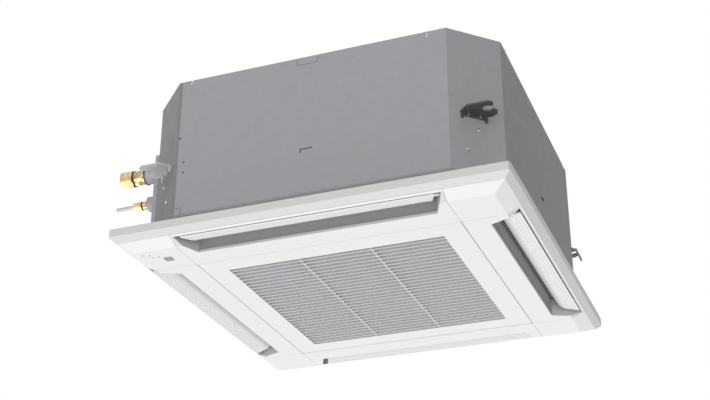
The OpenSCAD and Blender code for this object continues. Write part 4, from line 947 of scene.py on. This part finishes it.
class CASSETTE_OT_inside(bpy.types.Operator):
    """Finishes what lies inside: foam, coil, fan, motor, pump and bell mouth"""

    bl_idname = "cassette.inside"
    bl_label = "Inner parts"

    def execute(self, context):
        dress(["drain_pan"], bead_foam("bead_foam", finish().foam_white))
        # The liner's dark foam, made near black as painted shade seen through the sheet's pilot holes
        dress(["foam_liner"], open_foam("liner_foam", (0.012, 0.012, 0.013)))
        # The seal's dark foam, made mid-grey as painted light in the deep gap above the ducts
        dress(["panel_seal"], open_foam("seal_foam", (0.3, 0.3, 0.31)))
        dress(["coil_fins"], finned_aluminium("coil_fins", (0.6, 0.6, 0.62)))
        dress(["coil_end_plates"], galvanised_sheet("end_plate", (0.55, 0.55, 0.57)).material)
        dress(["coil_tubes"], bare_metal("copper", finish().copper, roughness=0.28))
        fan = moulded_plastic("fan_white", (0.7, 0.7, 0.69)).material
        dress(["turbo_fan", "float_guide", "level_float"], fan)
        dress(["fan_motor"], coated_steel("motor_can", (0.35, 0.35, 0.36)))
        steel = bare_metal("bright_steel", (0.6, 0.6, 0.61), roughness=0.25)
        dress(["fan_nut", "motor_shaft"], steel)
        dress(["motor_mounts"], moulded_rubber("mount_rubber", (0.03, 0.03, 0.03)))
        dark = moulded_plastic("inner_plastic", finish().dark_plastic).material
        dress(["bell_mouth", "drain_pump", "vane_motors"], dark)
        return {"FINISHED"}


def pale_floor(depth):
    """A wide pale floor far below the unit, which lets the light from below pass"""
    mesh = bpy.data.meshes.new("studio_floor")
    shape = bmesh.new()
    bmesh.ops.create_grid(shape, x_segments=FLOOR_CELLS, y_segments=FLOOR_CELLS, size=FLOOR_HALF)
    shape.to_mesh(mesh)
    shape.free()
    floor = bpy.data.objects.new("studio_floor", mesh)
    floor.location.z = -depth
    bpy.context.scene.collection.objects.link(floor)
    made = Material("floor_pale", (0.85, 0.85, 0.85), roughness=0.9)
    made.vary_colour(made.noise(FLOOR_PATCH_W), depth=0.02)
    mesh.materials.append(made.material)
    floor.visible_shadow = False
    floor.visible_diffuse = False
    floor.visible_glossy = False


class CASSETTE_OT_studio(bpy.types.Operator):
    """Sets the floor, the soft light and the camera at the photograph's angle"""

    bl_idname = "cassette.studio"
    bl_label = "Studio"

    def execute(self, context):
        settings = studio()
        pale_floor(settings.floor_drop)
        self.white_world(settings.ambient)
        for name, strength, direction, spread in SOFT_LIGHTS:
            self.soft_light(name, getattr(settings, strength), direction, spread)
        self.camera(context, settings)
        context.scene.view_settings.view_transform = "Standard"
        return {"FINISHED"}

    def white_world(self, ambient):
        """A white surround, seen white directly and in gloss, that lights the unit more gently"""
        world = bpy.data.worlds.new("studio_white")
        bpy.context.scene.world = world
        world.use_nodes = True
        tree = world.node_tree
        soft = tree.nodes["Background"]
        soft.inputs["Color"].default_value = (1, 1, 1, 1)
        soft.inputs["Strength"].default_value = ambient
        seen = tree.nodes.new("ShaderNodeBackground")
        seen.inputs["Color"].default_value = (1, 1, 1, 1)
        seen.inputs["Strength"].default_value = 1.0
        path = tree.nodes.new("ShaderNodeLightPath")
        either = tree.nodes.new("ShaderNodeMath")
        either.operation = "MAXIMUM"
        tree.links.new(path.outputs["Is Camera Ray"], either.inputs[0])
        tree.links.new(path.outputs["Is Glossy Ray"], either.inputs[1])
        mix = tree.nodes.new("ShaderNodeMixShader")
        tree.links.new(either.outputs["Value"], mix.inputs["Fac"])
        tree.links.new(soft.outputs["Background"], mix.inputs[1])
        tree.links.new(seen.outputs["Background"], mix.inputs[2])
        tree.links.new(mix.outputs["Shader"], tree.nodes["World Output"].inputs["Surface"])

    def soft_light(self, name, strength, direction, spread):
        """A wide soft light that comes from the given direction"""
        lamp = bpy.data.lights.new(name, "SUN")
        lamp.energy = strength
        lamp.angle = math.radians(spread)
        light = bpy.data.objects.new(name, lamp)
        light.rotation_euler = Vector(direction).to_track_quat("Z", "Y").to_euler()
        bpy.context.scene.collection.objects.link(light)

    def camera(self, context, settings):
        """The camera, below the unit and off its near-right corner"""
        data = bpy.data.cameras.new("photo_camera")
        data.sensor_width = SENSOR_W
        data.lens = settings.lens
        data.clip_end = VIEW_END
        camera = bpy.data.objects.new("photo_camera", data)
        turn = Euler(settings.camera_turn).to_matrix().to_4x4()
        camera.matrix_world = Matrix.Translation(settings.camera_place) @ turn
        context.scene.collection.objects.link(camera)
        context.scene.camera = camera


class CASSETTE_PT_sidebar(bpy.types.Panel):
    """Lists the dressing steps in the order that they run"""

    bl_idname = "CASSETTE_PT_sidebar"
    bl_label = "Ceiling cassette"
    bl_space_type = "VIEW_3D"
    bl_region_type = "UI"
    bl_category = "Cassette"

    def draw(self, context):
        layout = self.layout
        for step in STEPS:
            layout.operator(step.bl_idname)
        for group in (finish(), detail(), studio()):
            box = layout.box()
            for name in group.__annotations__:
                box.prop(group, name)


STEPS = (
    CASSETTE_OT_panel,
    CASSETTE_OT_vanes,
    CASSETTE_OT_grille,
    CASSETTE_OT_receiver,
    CASSETTE_OT_casing,
    CASSETTE_OT_hangers,
    CASSETTE_OT_screws,
    CASSETTE_OT_pipes,
    CASSETTE_OT_inside,
    CASSETTE_OT_studio,
)
CLASSES = (CassetteFinish, CassetteDetail, CassetteStudio, *STEPS, CASSETTE_PT_sidebar)


def register():
    """Adds the classes and this scene's settings to Blender"""
    for item in CLASSES:
        bpy.utils.register_class(item)
    bpy.types.Scene.cassette_finish = PointerProperty(type=CassetteFinish)
    bpy.types.Scene.cassette_detail = PointerProperty(type=CassetteDetail)
    bpy.types.Scene.cassette_studio = PointerProperty(type=CassetteStudio)


def unregister():
    """Takes the settings and the classes out again"""
    del bpy.types.Scene.cassette_studio
    del bpy.types.Scene.cassette_detail
    del bpy.types.Scene.cassette_finish
    for item in reversed(CLASSES):
        bpy.utils.unregister_class(item)


def main():
    """Runs every dressing step in order"""
    register()
    for step in STEPS:
        group, name = step.bl_idname.split(".")
        getattr(getattr(bpy.ops, group), name)()


if __name__ == "__main__":
    main()
